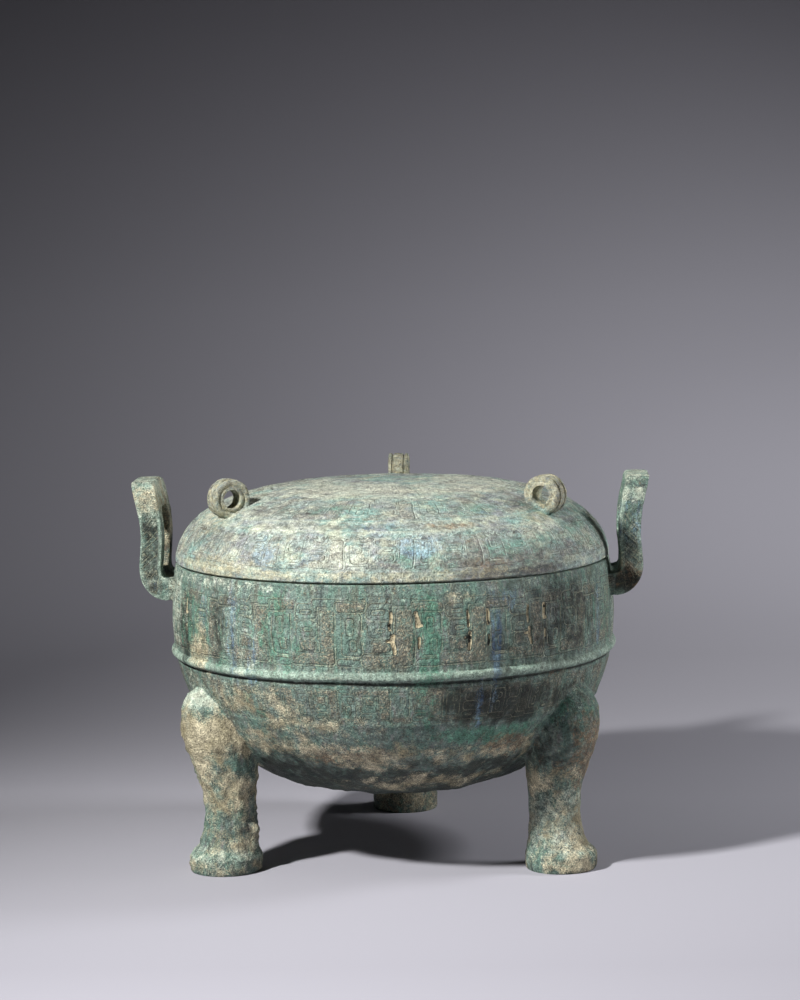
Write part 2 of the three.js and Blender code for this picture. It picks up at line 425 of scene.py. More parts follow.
@dataclass(frozen=True)
class Interlace:
    """A cell of interlaced flat bands that repeats round the vessel."""

    count: int
    cut: float = 1.0
    width: float = 43.0
    height: float = 47.0
    curled: tuple[Stroke, ...] = (
        Stroke(0, -2.2, 4.4, 17.6, 1.6),
        Stroke(-9.5, -16.2, 13.9, 3.7, 1.8),
        Stroke(-12.6, -7.6, 4.8, 3.6, 2.0),
        Stroke(13.5, 16.8, 8.2, 3.1, 1.6),
    )
    plain: tuple[Stroke, ...] = (
        Stroke(-13.4, 13.6, 6.6, 4.6, 2.4),
        Stroke(-12.8, 2.4, 6.2, 4.6, 2.2),
        Stroke(14.2, -0.5, 5.4, 13.4, 2.4),
        Stroke(-1.0, 19.4, 9.0, 2.2, 1.4),
        Stroke(13.0, -18.6, 7.0, 2.1, 1.4),
    )
    nested: tuple[Stroke, ...] = (
        Stroke(-13.8, 13.2, 3.8, 1.7, 1.2),
        Stroke(-12.2, 2.2, 3.0, 1.5, 1.1),
        Stroke(13.4, 4.6, 2.4, 5.6, 1.4),
        Stroke(15.2, -7.2, 2.2, 4.0, 1.4),
    )
    slots: tuple[Stroke, ...] = (
        Stroke(-6.8, 7.6, 0.5, 5.6, 0.5),
        Stroke(-5.9, -6.6, 0.85, 6.0, 0.8),
        Stroke(-7.6, -4.4, 1.6, 0.6, 0.5),
        Stroke(6.5, 8.4, 0.85, 5.2, 0.8),
        Stroke(7.2, 4.2, 1.3, 0.5, 0.5),
        Stroke(6.6, -6.4, 0.4, 3.6, 0.4),
    )

    def _nearest(self, strokes: Sequence[Stroke], across: np.ndarray, up: np.ndarray) -> np.ndarray:
        """The distance to the nearest of some bands in this cell or the cells beside it."""
        if not strokes:
            return np.full(len(across), FAR)
        shifted = [
            stroke.distance(across + shift * self.width, up) for stroke in strokes for shift in (-1, 0, 1)
        ]
        return np.min(shifted, axis=0)

    def marks(
        self,
        cells: np.ndarray,
        rise: np.ndarray,
        waver: np.ndarray,
        warp: np.ndarray,
        buried: np.ndarray | float = 0.0,
    ) -> Marks:
        """The relief at points of a band that runs round the vessel.

        Args:
            cells: How far round each point is, counted in cells.
            rise: How high each point is in the band, from -1 to 1.
            waver: Noise from -1 to 1 that makes the outlines uneven.
            warp: Slow noise, one row for each point, that makes each cell a little different.
            buried: From 0 to 1, how far the slots are filled level.

        Returns:
            The marks at each point. Outside the band there are none.
        """
        across = (cells % 1 - 0.5) * self.width + waver * 0.45 + warp[:, 0] * 1.5
        up = rise * self.height / 2 + waver * 0.35 + warp[:, 1] * 1.1
        outside = step_between(0.96, 1.02, np.abs(rise)) * FAR * 2
        curled = self._nearest(self.curled, across, up) + outside
        plain = self._nearest(self.plain, across, up) + outside
        nested = self._nearest(self.nested, across, up)
        slots = self._nearest(self.slots, across + waver * 0.4, up) + outside + buried * FAR * 2
        plain = np.where(np.abs(plain) < np.abs(nested), plain, -nested)
        plain = np.where(curled < 0.5, FAR, plain)
        curls = step_between(0.0, -0.8, curled)
        lines = np.maximum(near(curled, 0, 0.7), near(plain, 0, 0.65))
        depth = (0.2 * lines + 1.1 * step_between(0.5, -0.5, slots) + 0.12 * curls) * MM * self.cut
        return Marks(curled, plain, slots, curls, depth)


# ---- where each mineral lies ----------------------------------------------------------------


class Mineral(Enum):
    """What lies on the metal, one stored layer for each, and DARK also carries painted shade. It tells how
    much of a place is covered.
    """

    EARTH = "earth"
    MALACHITE = "malachite"
    AZURITE = "azurite"
    PALE = "pale"
    DARK = "dark"
    RUST = "rust"


class Trace(Enum):
    """What the finish reads of the relief, one stored layer for each."""

    OUTLINE = "outline"
    INNER = "inner"
    SLOT = "slot"
    CURLS = "curls"
    CREST = "crest"


@dataclass(frozen=True)
class Patch:
    """A patch of one mineral: where it lies, in degrees right of the front and heights in mm."""

    mineral: Mineral
    right: float
    height: float
    half_right: float
    half_height: float
    cover: float = 1.0

    def over(self, right: np.ndarray, height: np.ndarray, waver: np.ndarray) -> np.ndarray:
        """How much of each point the patch covers.

        Args:
            right: How many degrees right of the front each point is.
            height: Each point's height in millimetres.
            waver: Noise from -1 to 1 that makes the patch's edge uneven.

        Returns:
            From 0 to the patch's cover.
        """
        side = (right - self.right + 180) % 360 - 180
        reach = np.hypot(side / self.half_right, (height - self.height) / self.half_height)
        return self.cover * step_between(1.5, 0.3, reach + waver * 0.4)


Layers = dict[Mineral, np.ndarray]
FRONT = math.radians(-87.1)  # the way from the axis to the eye


def right_of_front(points: np.ndarray) -> np.ndarray:
    """How many degrees right of the front each point lies, as seen from the front."""
    return np.degrees(angle_apart(np.arctan2(points[:, 1], points[:, 0]), FRONT))


def raise_cover(layers: Layers, mineral: Mineral, cover: np.ndarray) -> None:
    """Lets a mineral cover each point at least so far."""
    layers[mineral] = np.maximum(layers[mineral], cover)


def lay(
    layers: Layers,
    patches: Sequence[Patch],
    right: np.ndarray,
    height: np.ndarray,
    waver: np.ndarray,
    where: np.ndarray | float,
) -> None:
    """Adds patches to the layers.

    Args:
        layers: The layers, which are changed.
        patches: The patches.
        right: How many degrees right of the front each point is.
        height: Each point's height in millimetres.
        waver: Noise from -1 to 1 that makes the patches' edges uneven.
        where: From 0 to 1, how far the patches may lie on each point.
    """
    for patch in patches:
        raise_cover(layers, patch.mineral, patch.over(right, height, waver) * where)


def store(piece: bpy.types.Object, layers: Layers, marks: Marks, seen: np.ndarray, crest: np.ndarray) -> None:
    """Stores the minerals and the relief's traces on a piece for its finish to read.

    Args:
        piece: The piece.
        layers: How much each mineral covers.
        marks: The relief.
        seen: From 0 to 1, where the relief is.
        crest: From 0 to 1, where the metal is worn smooth and pale.
    """
    for mineral, values in layers.items():
        Bench.tag(piece, mineral.value, values)
    for trace, distance in (
        (Trace.OUTLINE, marks.outline),
        (Trace.INNER, marks.inner),
        (Trace.SLOT, marks.slot),
    ):
        Bench.tag(piece, trace.value, np.where(seen > 0.5, distance, FAR) / (2 * FAR) + 0.5)
    Bench.tag(piece, Trace.CURLS.value, marks.curls * seen)
    Bench.tag(piece, Trace.CREST.value, crest)


# ---- the cauldron ---------------------------------------------------------------------------


@dataclass
class Leg:
    """A hoof-shaped leg: a thick disc, a waist and a swelling knee with a round top."""

    columns: int = 80
    level: float = 1.75 * MM
    nodule: tuple[float, float, float] = (-0.0895, -0.0662, 0.027)
    nodule_size: float = 4.2 * MM
    nodule_rise: float = 3.2 * MM
    waist_height: float = 0.25 * RIDGE_R
    waist_reach: float = 0.16 * RIDGE_R
    facets: int = 8
    sections: tuple[tuple[float, float, float, float], ...] = (
        (0.0, 0.8535, 0.1545, 0.1545),
        (0.0665, 0.8535, 0.1555, 0.1555),
        (0.083, 0.851, 0.1475, 0.1475),
        (0.113, 0.838, 0.131, 0.131),
        (0.17, 0.829, 0.118, 0.1185),
        (0.25, 0.825, 0.11, 0.112),
        (0.34, 0.826, 0.114, 0.118),
        (0.42, 0.833, 0.129, 0.135),
        (0.5, 0.848, 0.143, 0.152),
        (0.58, 0.871, 0.149, 0.16),
        (0.65, 0.888, 0.143, 0.156),
        (0.715, 0.9, 0.126, 0.138),
        (0.77, 0.908, 0.1, 0.108),
        (0.81, 0.915, 0.063, 0.066),
        (0.828, 0.918, 0.026, 0.028),
    )

    def section(self, height: np.ndarray) -> tuple[np.ndarray, np.ndarray, np.ndarray]:
        """The middle's distance from the axis, the half depth and the half width at heights."""
        table = np.array(self.sections) * RIDGE_R
        rows = np.vstack([table[:2], smooth_curve(table[2:], 240)])
        return tuple(np.interp(height, rows[:, 0], rows[:, i]) for i in (1, 2, 3))

    def gap(self, points: np.ndarray, turn: float) -> np.ndarray:
        """About how far points lie outside the leg that stands at an angle."""
        radial = points[:, 0] * math.cos(turn) + points[:, 1] * math.sin(turn)
        sideways = points[:, 1] * math.cos(turn) - points[:, 0] * math.sin(turn)
        middle, depth, width = self.section(points[:, 2])
        reach = np.hypot((radial - middle) / depth, sideways / width)
        above = np.maximum(points[:, 2] - self.sections[-1][0] * RIDGE_R, 0)
        return (reach - 1) * (depth + width) / 2 + above * 2

    def build(self, name: str, turn: float, crust: float, seed: int) -> bpy.types.Object:
        """One leg, standing at an angle.

        Args:
            name: The new piece's name.
            turn: Where it stands round the axis.
            crust: How thick the lumps of crust on it are, in metres.
            seed: What its unevenness is drawn from.

        Returns:
            The closed leg.
        """
        top = self.sections[-1][0] * RIDGE_R
        levels = [0.5 * MM, *np.arange(1.8 * MM, 8.9 * MM, self.level)]
        levels += [9.3 * MM, 9.9 * MM, 10.7 * MM, 12.0 * MM]
        levels += list(np.arange(13.6 * MM, top, self.level)) + [top]
        leg = Bench.ring(name, 0.153 * RIDGE_R, 0, self.columns)
        Bench.raise_rings(leg, [(0.15 * RIDGE_R, level) for level in levels])
        Bench.close(leg)
        points = Bench.points(leg)
        around = np.arctan2(points[:, 1], points[:, 0])
        middle, depth, width = self.section(points[:, 2])
        at_waist = near(points[:, 2], self.waist_height, self.waist_reach)
        facet = 1 + 0.014 * np.cos(self.facets * around) * at_waist
        facet -= 0.03 * step_between(0.9 * MM, 0, points[:, 2])
        points[:, 0] = middle + depth * np.cos(around) * facet
        points[:, 1] = width * np.sin(around) * facet
        Bench.place(leg, points)
        leg.data.transform(Matrix.Rotation(turn, 4, "Z"))
        points = Bench.points(leg)
        grain = Grain(seed)
        lumps = np.maximum(grain.layered(points, 5 * MM, 3) + 0.15, 0) * crust * 0.8
        lumps += grain.layered(points, 3.4 * MM, 2) * crust * 0.35
        from_nodule = np.linalg.norm(points - np.array(self.nodule), axis=1)
        lumps += near(from_nodule, 0, self.nodule_size) * self.nodule_rise
        swell = grain.at(points, 22 * MM) * 0.5 * MM + grain.layered(points, 6 * MM) * 0.25 * MM
        lift = step_between(0.2 * MM, 2.0 * MM, points[:, 2])
        points += Bench.outwards(leg) * ((lumps + swell) * lift)[:, None]
        points[:, 2] = np.maximum(points[:, 2], 0)
        Bench.place(leg, points)
        return leg


@dataclass
class Handle:
    """An upright handle: an S-curved slab with a finger slot, borders and a cut pattern."""

    width: float = 56 * MM
    thickness: float = 14.4 * MM
    corner: float = 11 * MM
    slot_width: float = 29 * MM
    slot_corner: float = 5 * MM
    border: float = 3.6 * MM
    grid: float = 1.55 * MM
    top: float = 1.697 * RIDGE_R
    highest_crust: float = 1.6985 * RIDGE_R
    slot_bottom: float = 1.30 * RIDGE_R
    slot_top: float = 1.565 * RIDGE_R
    upright_from: float = 1.06 * RIDGE_R
    line: tuple[tuple[float, float], ...] = (
        (0.935, 1.217),
        (0.965, 1.217),
        (1.005, 1.218),
        (1.042, 1.232),
        (1.066, 1.265),
        (1.073, 1.31),
        (1.067, 1.39),
        (1.064, 1.46),
        (1.071, 1.54),
        (1.087, 1.62),
        (1.108, 1.71),
    )

    def __post_init__(self) -> None:
        """Measures the middle line, its direction and where the slot starts and ends."""
        curve = smooth_curve(self.line, 400) * RIDGE_R
        self.curve = curve[: int(np.searchsorted(curve[:, 1] - self.top, 0)) + 1]
        steps = np.hypot(*np.diff(self.curve, axis=0).T)
        self.along = np.concatenate([[0], np.cumsum(steps)])
        self.length = float(self.along[-1])
        self.lean = np.gradient(self.curve, axis=0)
        self.lean /= np.hypot(*self.lean.T)[:, None]
        upper = self.curve[:, 0] > self.upright_from
        self.slot_low = float(np.interp(self.slot_bottom, self.curve[upper, 1], self.along[upper]))
        self.slot_high = float(np.interp(self.slot_top, self.curve[upper, 1], self.along[upper]))

    def rim(self, along: np.ndarray, across: np.ndarray) -> np.ndarray:
        """How far points of the flat slab lie outside its outline, with round top corners."""
        side = np.abs(across) - self.width / 2
        end = along - self.length
        over_side, over_end = side + self.corner, end + self.corner
        rounded = np.hypot(np.maximum(over_side, 0), np.maximum(over_end, 0)) - self.corner
        return np.where((over_side > 0) & (over_end > 0), rounded, np.maximum(side, end))

    def slot(self, along: np.ndarray, across: np.ndarray) -> np.ndarray:
        """How far points of the flat slab lie outside the finger slot, less than 0 in it."""
        middle, half = (self.slot_low + self.slot_high) / 2, (self.slot_high - self.slot_low) / 2
        return Stroke(0, middle, self.slot_width / 2, half, self.slot_corner).distance(across, along)

    def edge_field(self, middle: np.ndarray) -> np.ndarray:
        """Where the sunk field of an edge face lies, from 0 to 1, by the place in the thickness."""
        return step_between(-4.9 * MM, -4.1 * MM, middle) * step_between(6.0 * MM, 5.2 * MM, middle)

    def diagonals(self, along: np.ndarray, middle: np.ndarray) -> tuple[np.ndarray, np.ndarray]:
        """The signed distances in millimetres to two sets of slanting lines in the field."""
        across, up = middle / MM, along / MM
        long_lines = np.sin((up + across * 1.05) * math.pi / 5.6) * 1.3
        short_lines = np.sin((up * 0.9 - across * 1.2) * math.pi / 4.4) * 0.95
        return long_lines, np.where(np.sin(up * 0.5 + 1) > 0.1, short_lines, FAR)

    def traces(self, points: np.ndarray, side: int) -> tuple[Marks, np.ndarray, np.ndarray]:
        """The cut pattern on a handle's edges, worked out from finished places.

        Args:
            points: One row of x, y and z per point.
            side: 1 for the handle at +X and -1 for the other.

        Returns:
            The marks, and from 0 to 1 how far each point lies in the sunk field and on its border.
        """
        radial, height = points[:, 0] * side, points[:, 2]
        near_line = np.full(len(points), 1.0)
        along, middle = np.zeros(len(points)), np.zeros(len(points))
        for i in range(0, len(self.curve), 4):
            off_r, off_z = radial - self.curve[i, 0], height - self.curve[i, 1]
            gap = np.hypot(off_r, off_z)
            closer = gap < near_line
            near_line = np.where(closer, gap, near_line)
            lean_r, lean_z = self.lean[i]
            along = np.where(closer, self.along[i] + off_r * lean_r + off_z * lean_z, along)
            middle = np.where(closer, off_r * lean_z - off_z * lean_r, middle)
        inside = self.edge_field(middle) * step_between(13 * MM, 16 * MM, along)
        inside *= step_between(self.length - 22 * MM, self.length - 27 * MM, along)
        on_edge = step_between(self.width / 2 - 1.6 * MM, self.width / 2 - 0.7 * MM, np.abs(points[:, 1]))
        inside *= on_edge
        border = on_edge * (1 - self.edge_field(middle))
        long_lines, short_lines = self.diagonals(along, middle)
        far, none = np.full(len(points), FAR), np.zeros(len(points))
        calm = inside > 0.5
        outline, inner = np.where(calm, long_lines, far), np.where(calm, short_lines, far)
        return Marks(outline, inner, far, none, none), inside, border

    def build(self, name: str, turn: float, seed: int) -> bpy.types.Object:
        """One handle, standing at an angle.

        Args:
            name: The new piece's name.
            turn: Where it stands round the axis.
            seed: What its unevenness is drawn from.

        Returns:
            The closed handle, with its root inside the cauldron's wall.
        """
        rows, columns = round(self.length / self.grid), round(self.width / self.grid)
        Bench.clear()
        bpy.ops.mesh.primitive_grid_add(x_subdivisions=columns, y_subdivisions=rows, size=1)
        slab = bpy.context.object
        slab.name = slab.data.name = name
        points = Bench.points(slab)
        points[:, 0] *= self.width
        points[:, 1] = (points[:, 1] + 0.5) * self.length
        Bench.place(slab, points)
        with Bench.editing(slab):
            bpy.ops.mesh.select_mode(type="FACE")
        Bench.select_faces(slab, lambda at: self.slot(at[:, 1], at[:, 0]) < 0)
        with Bench.editing(slab):
            bpy.ops.mesh.delete(type="FACE")
        self._fit_outline(slab)
        layers = round(self.thickness / self.grid)
        with Bench.editing(slab):
            bpy.ops.mesh.select_all(action="SELECT")
            for _ in range(layers):
                bpy.ops.mesh.extrude_region_move(
                    TRANSFORM_OT_translate={"value": (0, 0, self.thickness / layers)}
                )
            Bench.face_outwards()
        self._carve(slab, turn, seed)
        return slab

    def _slope(
        self, shape: Callable[[np.ndarray, np.ndarray], np.ndarray], along: np.ndarray, across: np.ndarray
    ) -> tuple[np.ndarray, np.ndarray, np.ndarray]:
        """An outline's distance and its two slopes at points of the flat slab."""
        nudge = 0.01 * MM
        off = shape(along, across)
        return off, (shape(along + nudge, across) - off) / nudge, (shape(along, across + nudge) - off) / nudge

    def _fit_outline(self, slab: bpy.types.Object) -> None:
        """Moves the grid's rims onto the round corners of the outline and the slot."""
        points = Bench.points(slab)
        for _ in range(6):
            off, slope_along, slope_across = self._slope(self.rim, points[:, 1], points[:, 0])
            moved = np.maximum(off, 0)
            points[:, 1] -= slope_along * moved
            points[:, 0] -= slope_across * moved
            off, slope_along, slope_across = self._slope(self.slot, points[:, 1], points[:, 0])
            moved = np.where(off < self.grid * 0.5, off, 0)
            points[:, 1] -= slope_along * moved
            points[:, 0] -= slope_across * moved
        Bench.place(slab, points)

    def _carve(self, slab: bpy.types.Object, turn: float, seed: int) -> None:
        """Rounds, borders and cuts the flat slab's faces, then bends it along its line."""
        points = Bench.points(slab)
        flat = points.copy()
        along, across, depth = flat[:, 1], flat[:, 0], flat[:, 2]
        middle = depth - self.thickness / 2
        share = np.abs(middle) / (self.thickness / 2)
        free = step_between(12 * MM, 20 * MM, along)
        face = share > 0.99
        gaps = []
        for shape, sign in ((self.rim, -1), (self.slot, 1)):
            off, slope_along, slope_across = self._slope(shape, along, across)
            gaps.append(off * sign)
            edge = np.abs(off) < 0.3 * MM
            field = 0.0
            if shape == self.rim:
                long_lines, short_lines = self.diagonals(along, middle)
                cut = np.maximum(near(long_lines, 0, 0.5), near(short_lines, 0, 0.4)) * 0.25 * MM
                field = self.edge_field(middle) * (along < self.length - 24 * MM) * (0.6 * MM + cut)
            inward = np.where(face, 0.4 * MM, field) * edge * free
            points[:, 1] += slope_along * inward * sign
            points[:, 0] += slope_across * inward * sign
        from_edge = np.minimum(*gaps)
        sunk = np.where(from_edge < 0.3 * MM, 0.4 * MM, 0)
        curls = np.sin(across / (1.5 * MM)) * np.sin(along / (1.5 * MM))
        field = step_between(self.border * 0.8, self.border * 1.2, from_edge) * (middle > 0)
        sunk = (sunk + (0.55 + 0.2 * curls) * MM * field) * face * free
        points[:, 2] -= np.sign(middle) * sunk
        along, across, middle = points[:, 1], points[:, 0], points[:, 2] - self.thickness / 2
        level = step_between(self.length - 16 * MM, self.length, along)
        lean = [np.interp(along, self.along, self.lean[:, i]) for i in (0, 1)]
        along = along + level * middle * lean[0] / lean[1]
        place = [np.interp(along, self.along, self.curve[:, i]) for i in (0, 1)]
        lean = [np.interp(along, self.along, self.lean[:, i]) for i in (0, 1)]
        over = np.maximum(along - self.length, 0)
        bent = np.empty_like(points)
        bent[:, 0] = place[0] + lean[1] * middle + over * lean[0]
        bent[:, 1] = -across
        bent[:, 2] = place[1] - lean[0] * middle + over * lean[1]
        Bench.place(slab, bent)
        with Bench.editing(slab):
            Bench.face_outwards()
        grain = Grain(seed)
        worn = grain.layered(bent, 8 * MM) * 0.3 * MM + grain.layered(bent, 3.2 * MM, 2) * 0.12 * MM
        worn -= np.maximum(grain.at(bent, 3.6 * MM) - 0.6, 0) * 1.6 * MM
        bent += Bench.outwards(slab) * (worn * free)[:, None]
        bent[:, 2] = np.minimum(bent[:, 2], self.highest_crust)
        Bench.place(slab, bent)
        slab.data.transform(Matrix.Rotation(turn, 4, "Z"))


@dataclass
class Cauldron:
    """The cauldron: a round belly on three legs, with two handles, cast as one."""

    columns: int = 220
    wall: float = 4 * MM
    seam_radius: float = SEAM_RADIUS
    seam_height: float = SEAM_HEIGHT
    ridge_height: float = 0.937 * RIDGE_R
    ridge_half: float = 3.1 * MM
    ridge_proud: float = 0.0172 * RIDGE_R
    lip_radius: float = LIP_RADIUS
    lip_wall: float = 3.4 * MM
    lip_rise: float = LIP_RISE
    band_low: float = 0.966 * RIDGE_R
    band_high: float = 1.283 * RIDGE_R
    lower_low: float = 0.722 * RIDGE_R
    lower_high: float = 0.9 * RIDGE_R
    below_ridge: float = 0.908 * RIDGE_R
    above_ridge: float = 0.963 * RIDGE_R
    above_band: float = 1.287 * RIDGE_R
    left_field_stain: float = 0.62
    right_field_stain: float = 0.4
    leg: Leg = field(default_factory=Leg)
    handle: Handle = field(default_factory=Handle)
    upper_band: Interlace = field(default_factory=lambda: Interlace(21))
    lower_band: Interlace = field(default_factory=lambda: Interlace(30, 0.6))
    stations: tuple[tuple[float, float], ...] = (
        (0, 0.305),
        (0.2, 0.309),
        (0.426, 0.336),
        (0.61, 0.404),
        (0.778, 0.531),
        (0.887, 0.67),
        (0.95, 0.806),
        (0.983, 0.937),
        (0.994, 1.06),
        (0.993, 1.16),
        (0.985, 1.26),
        (0.974, 1.329),
    )

    def __post_init__(self) -> None:
        """Measures the belly's outline."""
        self.curve = smooth_curve(self.stations, 600) * RIDGE_R

    def belly(self, height: np.ndarray) -> np.ndarray:
        """The belly's outer radius at heights, without its raised line."""
        return np.interp(height, self.curve[:, 1], self.curve[:, 0])

    def _rows(self) -> list[tuple[float, float]]:
        """The stations of the coarse rings, from the bottom to the shoulder."""
        along = np.concatenate([[0], np.cumsum(np.hypot(*np.diff(self.curve, axis=0).T))])
        heights = self.curve[:, 1]
        zones = (
            (self.lower_low - 2 * MM, 3.7 * MM),
            (self.below_ridge, 4.5 * MM),
            (self.above_ridge, 1.8 * MM),
            (self.above_band, 4.3 * MM),
            (self.seam_height - 1.6 * MM, 2.6 * MM),
        )
        rows = []
        start = float(np.interp(3 * MM, self.curve[:, 0], along))
        for limit, pitch in zones:
            end = float(np.interp(limit, heights, along))
            count = max(round((end - start) / pitch), 1)
            for place in np.linspace(start, end, count + 1)[1:]:
                rows.append(tuple(float(np.interp(place, along, self.curve[:, i])) for i in (0, 1)))
            start = end
        return rows

    def _skin(self) -> bpy.types.Object:
        """The belly's outer skin, its shoulder and its lip, closed on top."""
        shoulder, lip = self.seam_height, self.seam_height + self.lip_rise
        top = [
            (self.seam_radius + 0.15 * MM, shoulder - 0.7 * MM),
            (self.seam_radius - 0.25 * MM, shoulder - 0.2 * MM),
            (self.seam_radius - 0.9 * MM, shoulder),
            (self.seam_radius - 3.2 * MM, shoulder),
            (self.lip_radius, shoulder),
            (self.lip_radius, lip - 0.4 * MM),
            (self.lip_radius - 0.4 * MM, lip),
            (self.lip_radius - 8 * MM, lip),
        ]
        skin = Bench.ring("cauldron_bronze", 3 * MM, self.stations[0][1] * RIDGE_R, self.columns)
        Bench.raise_rings(skin, self._rows() + top)
        Bench.close(skin)

        def between(bottom: float, ceiling: float, inner: float) -> Callable[[np.ndarray], np.ndarray]:
            """A test for faces between two heights and outside a radius."""

            def inside(at: np.ndarray) -> np.ndarray:
                """True for each face in that ring."""
                return (at[:, 2] > bottom) & (at[:, 2] < ceiling) & (np.hypot(at[:, 0], at[:, 1]) > inner)

            return inside

        within = 0.86 * RIDGE_R
        Bench.refine(skin, 2, between(self.lower_low - 2 * MM, self.below_ridge, within))
        Bench.refine(skin, 1, between(self.below_ridge, self.above_ridge, within))
        Bench.refine(skin, 3, between(self.above_ridge, self.above_band, within))
        Bench.refine(skin, 1, between(self.above_band, shoulder - 0.1 * MM, self.lip_radius + 2 * MM))
        return skin

    def cells(self, points: np.ndarray, count: int) -> np.ndarray:
        """How far round points of a band are, in cells, with the stamps' drift."""
        right = right_of_front(points)
        drift = 2.0 * np.sin(np.radians(right * 2 + 12)) + 0.5 * np.sin(np.radians(right * 5))
        return (right - 1.9 - drift * 0.9) / 360 * count + 0.5

    def relief(self, points: np.ndarray) -> Marks:
        """The relief of both bands at points of the belly."""
        grain = Grain(11)
        waver = grain.layered(points, 5 * MM, 2)
        warp = np.stack([grain.at(points, 24 * MM), Grain(12).at(points, 24 * MM)], axis=1)
        height = points[:, 2]
        rise = (height - (self.band_low + self.band_high) / 2) / ((self.band_high - self.band_low) / 2)
        right = right_of_front(points)
        buried = step_between(3, 0, np.abs(right + 16) - 11)
        buried += step_between(0.1, 0.35, grain.at(points, 60 * MM))
        buried *= step_between(2, 4, np.abs(right - 12) - 16) + (right < -4)
        buried += step_between(66, 74, np.abs(right))
        cells = self.cells(points, self.upper_band.count)
        upper = self.upper_band.marks(cells, rise, waver, warp, np.clip(buried, 0, 1))
        middle = (self.lower_low + self.lower_high) / 2
        rise = (middle - height) / ((self.lower_high - self.lower_low) / 2)
        cells = self.cells(points, self.lower_band.count) + 0.37
        lower = self.lower_band.marks(cells, rise, waver, warp, 1.0)
        return Marks.over(upper, lower)

    def crust(self, points: np.ndarray) -> np.ndarray:
        """How much earthy crust lies on the lower belly, from 0 to 1."""
        layers = {Mineral.EARTH: np.zeros(len(points))}
        waver = Grain(71).layered(points, (9 * MM, 9 * MM, 16 * MM), 3)
        crusts = [patch for patch in BELLY_PATCHES if patch.mineral is Mineral.EARTH]
        lay(layers, crusts, right_of_front(points), points[:, 2] / MM, waver, 1.0)
        return layers[Mineral.EARTH]

    def _shape_skin(self, skin: bpy.types.Object) -> None:
        """Puts the belly's vertices on its true round, then adds the ridge, relief and wear."""
        points = Bench.points(skin)
        turn = np.arctan2(points[:, 1], points[:, 0])
        radius, height = np.hypot(points[:, 0], points[:, 1]), points[:, 2]
        outer = (height > 0.5 * RIDGE_R) & (height < self.seam_height - 1.7 * MM)
        outer &= radius > 0.84 * RIDGE_R
        radius = np.where(outer, self.belly(height), radius)
        grain = Grain(5)
        sway = 0.5 * MM * np.sin(turn * 3 + 0.6) + grain.at(points, 30 * MM) * 0.5 * MM
        lumpy = 1 + 0.12 * grain.layered(points, 10 * MM)
        from_ridge = (height - self.ridge_height - sway) / self.ridge_half
        ridge = self.ridge_proud * lumpy * np.sqrt(np.maximum(1 - from_ridge**2, 0))
        below = near(from_ridge, -1.25, 0.3) * 1.0 * MM + near(from_ridge, 1.25, 0.35) * 0.3 * MM
        border = near(height, self.band_high + 1.1 * MM, 0.8 * MM) * 0.4 * MM
        border += near(height, self.band_low - 0.9 * MM, 0.8 * MM) * 0.25 * MM
        border += near(height, self.lower_low - 0.2 * MM, 1.1 * MM) * 0.5 * MM
        wear = grain.layered(points, 17 * MM) * 0.26 * MM + grain.layered(points, 4.5 * MM) * 0.12 * MM
        wear += Grain(6).layered(points, 2.2 * MM, 2) * 0.07 * MM
        rough = step_between(0.74, 0.52, height / RIDGE_R)
        wear += rough * np.maximum(grain.layered(points, 11 * MM, 3), -0.2) * 1.9 * MM
        crusted = self.crust(points)
        wear += crusted * (0.3 + 0.9 * Grain(7).layered(points, (8 * MM, 8 * MM, 4 * MM), 3)) * 1.4 * MM
        wear -= np.maximum(grain.at(points, 3.4 * MM) - 0.68, 0) * 1.5 * MM
        buried = 1 - 0.75 * step_between(0.25, 0.7, crusted)
        lift = ridge - below + border * buried + wear - self.relief(points).depth * buried
        lift *= step_between(self.seam_height - 0.3 * MM, self.seam_height - 3 * MM, height)
        outwards = Bench.outwards(skin)
        outwards[outer] = np.stack([np.cos(turn), np.sin(turn), 0 * turn], axis=1)[outer]
        shaped = np.stack([radius * np.cos(turn), radius * np.sin(turn), height], axis=1)
        shaped += outwards * np.where(radius > 2 * MM, lift, 0)[:, None]
        Bench.place(skin, shaped)

    def _hollow(self) -> bpy.types.Object:
        """The space inside the cauldron, as a closed piece to cut away."""
        inner = []
        tangent = np.gradient(self.curve, axis=0)
        tangent /= np.hypot(*tangent.T)[:, None]
        walls = self.curve + np.stack([-tangent[:, 1], tangent[:, 0]], axis=1) * self.wall
        for radius, height in walls[60::22]:
            if height < self.seam_height - 12 * MM:
                inner.append((float(radius), float(height)))
        mouth, top = self.lip_radius - self.lip_wall, self.seam_height + self.lip_rise
        inner += [(mouth, self.seam_height - 2 * MM), (mouth, top - 0.5 * MM), (mouth + 0.5 * MM, top + MM)]
        floor = self.stations[0][1] * RIDGE_R + self.wall
        hollow = Bench.ring("cauldron_hollow", 4 * MM, floor, self.columns // 2)
        Bench.raise_rings(hollow, inner)
        Bench.close(hollow)
        return hollow

    def build(self) -> bpy.types.Object:
        """The whole cauldron, closed and with its finish's layers stored.

        Returns:
            The cauldron piece.
        """
        body = self._skin()
        self._shape_skin(body)
        crusts = (0.8 * MM, 2.2 * MM, 1.0 * MM)
        for index, (turn, crust) in enumerate(zip(LEG_TURNS, crusts)):
            leg = self.leg.build(f"leg_{index}", turn, crust, 31 + index)
            Bench.combine(body, leg, "UNION")
        for index, turn in enumerate((0.0, math.pi)):
            handle = self.handle.build(f"handle_{index}", turn, 41 + index)
            Bench.combine(body, handle, "UNION")
        Bench.combine(body, self._hollow(), "DIFFERENCE")
        self._soften_joins(body)
        Bench.hold_inside(body, "cauldron")
        self._lay_minerals(body)
        Bench.smooth(body, 50)
        return body

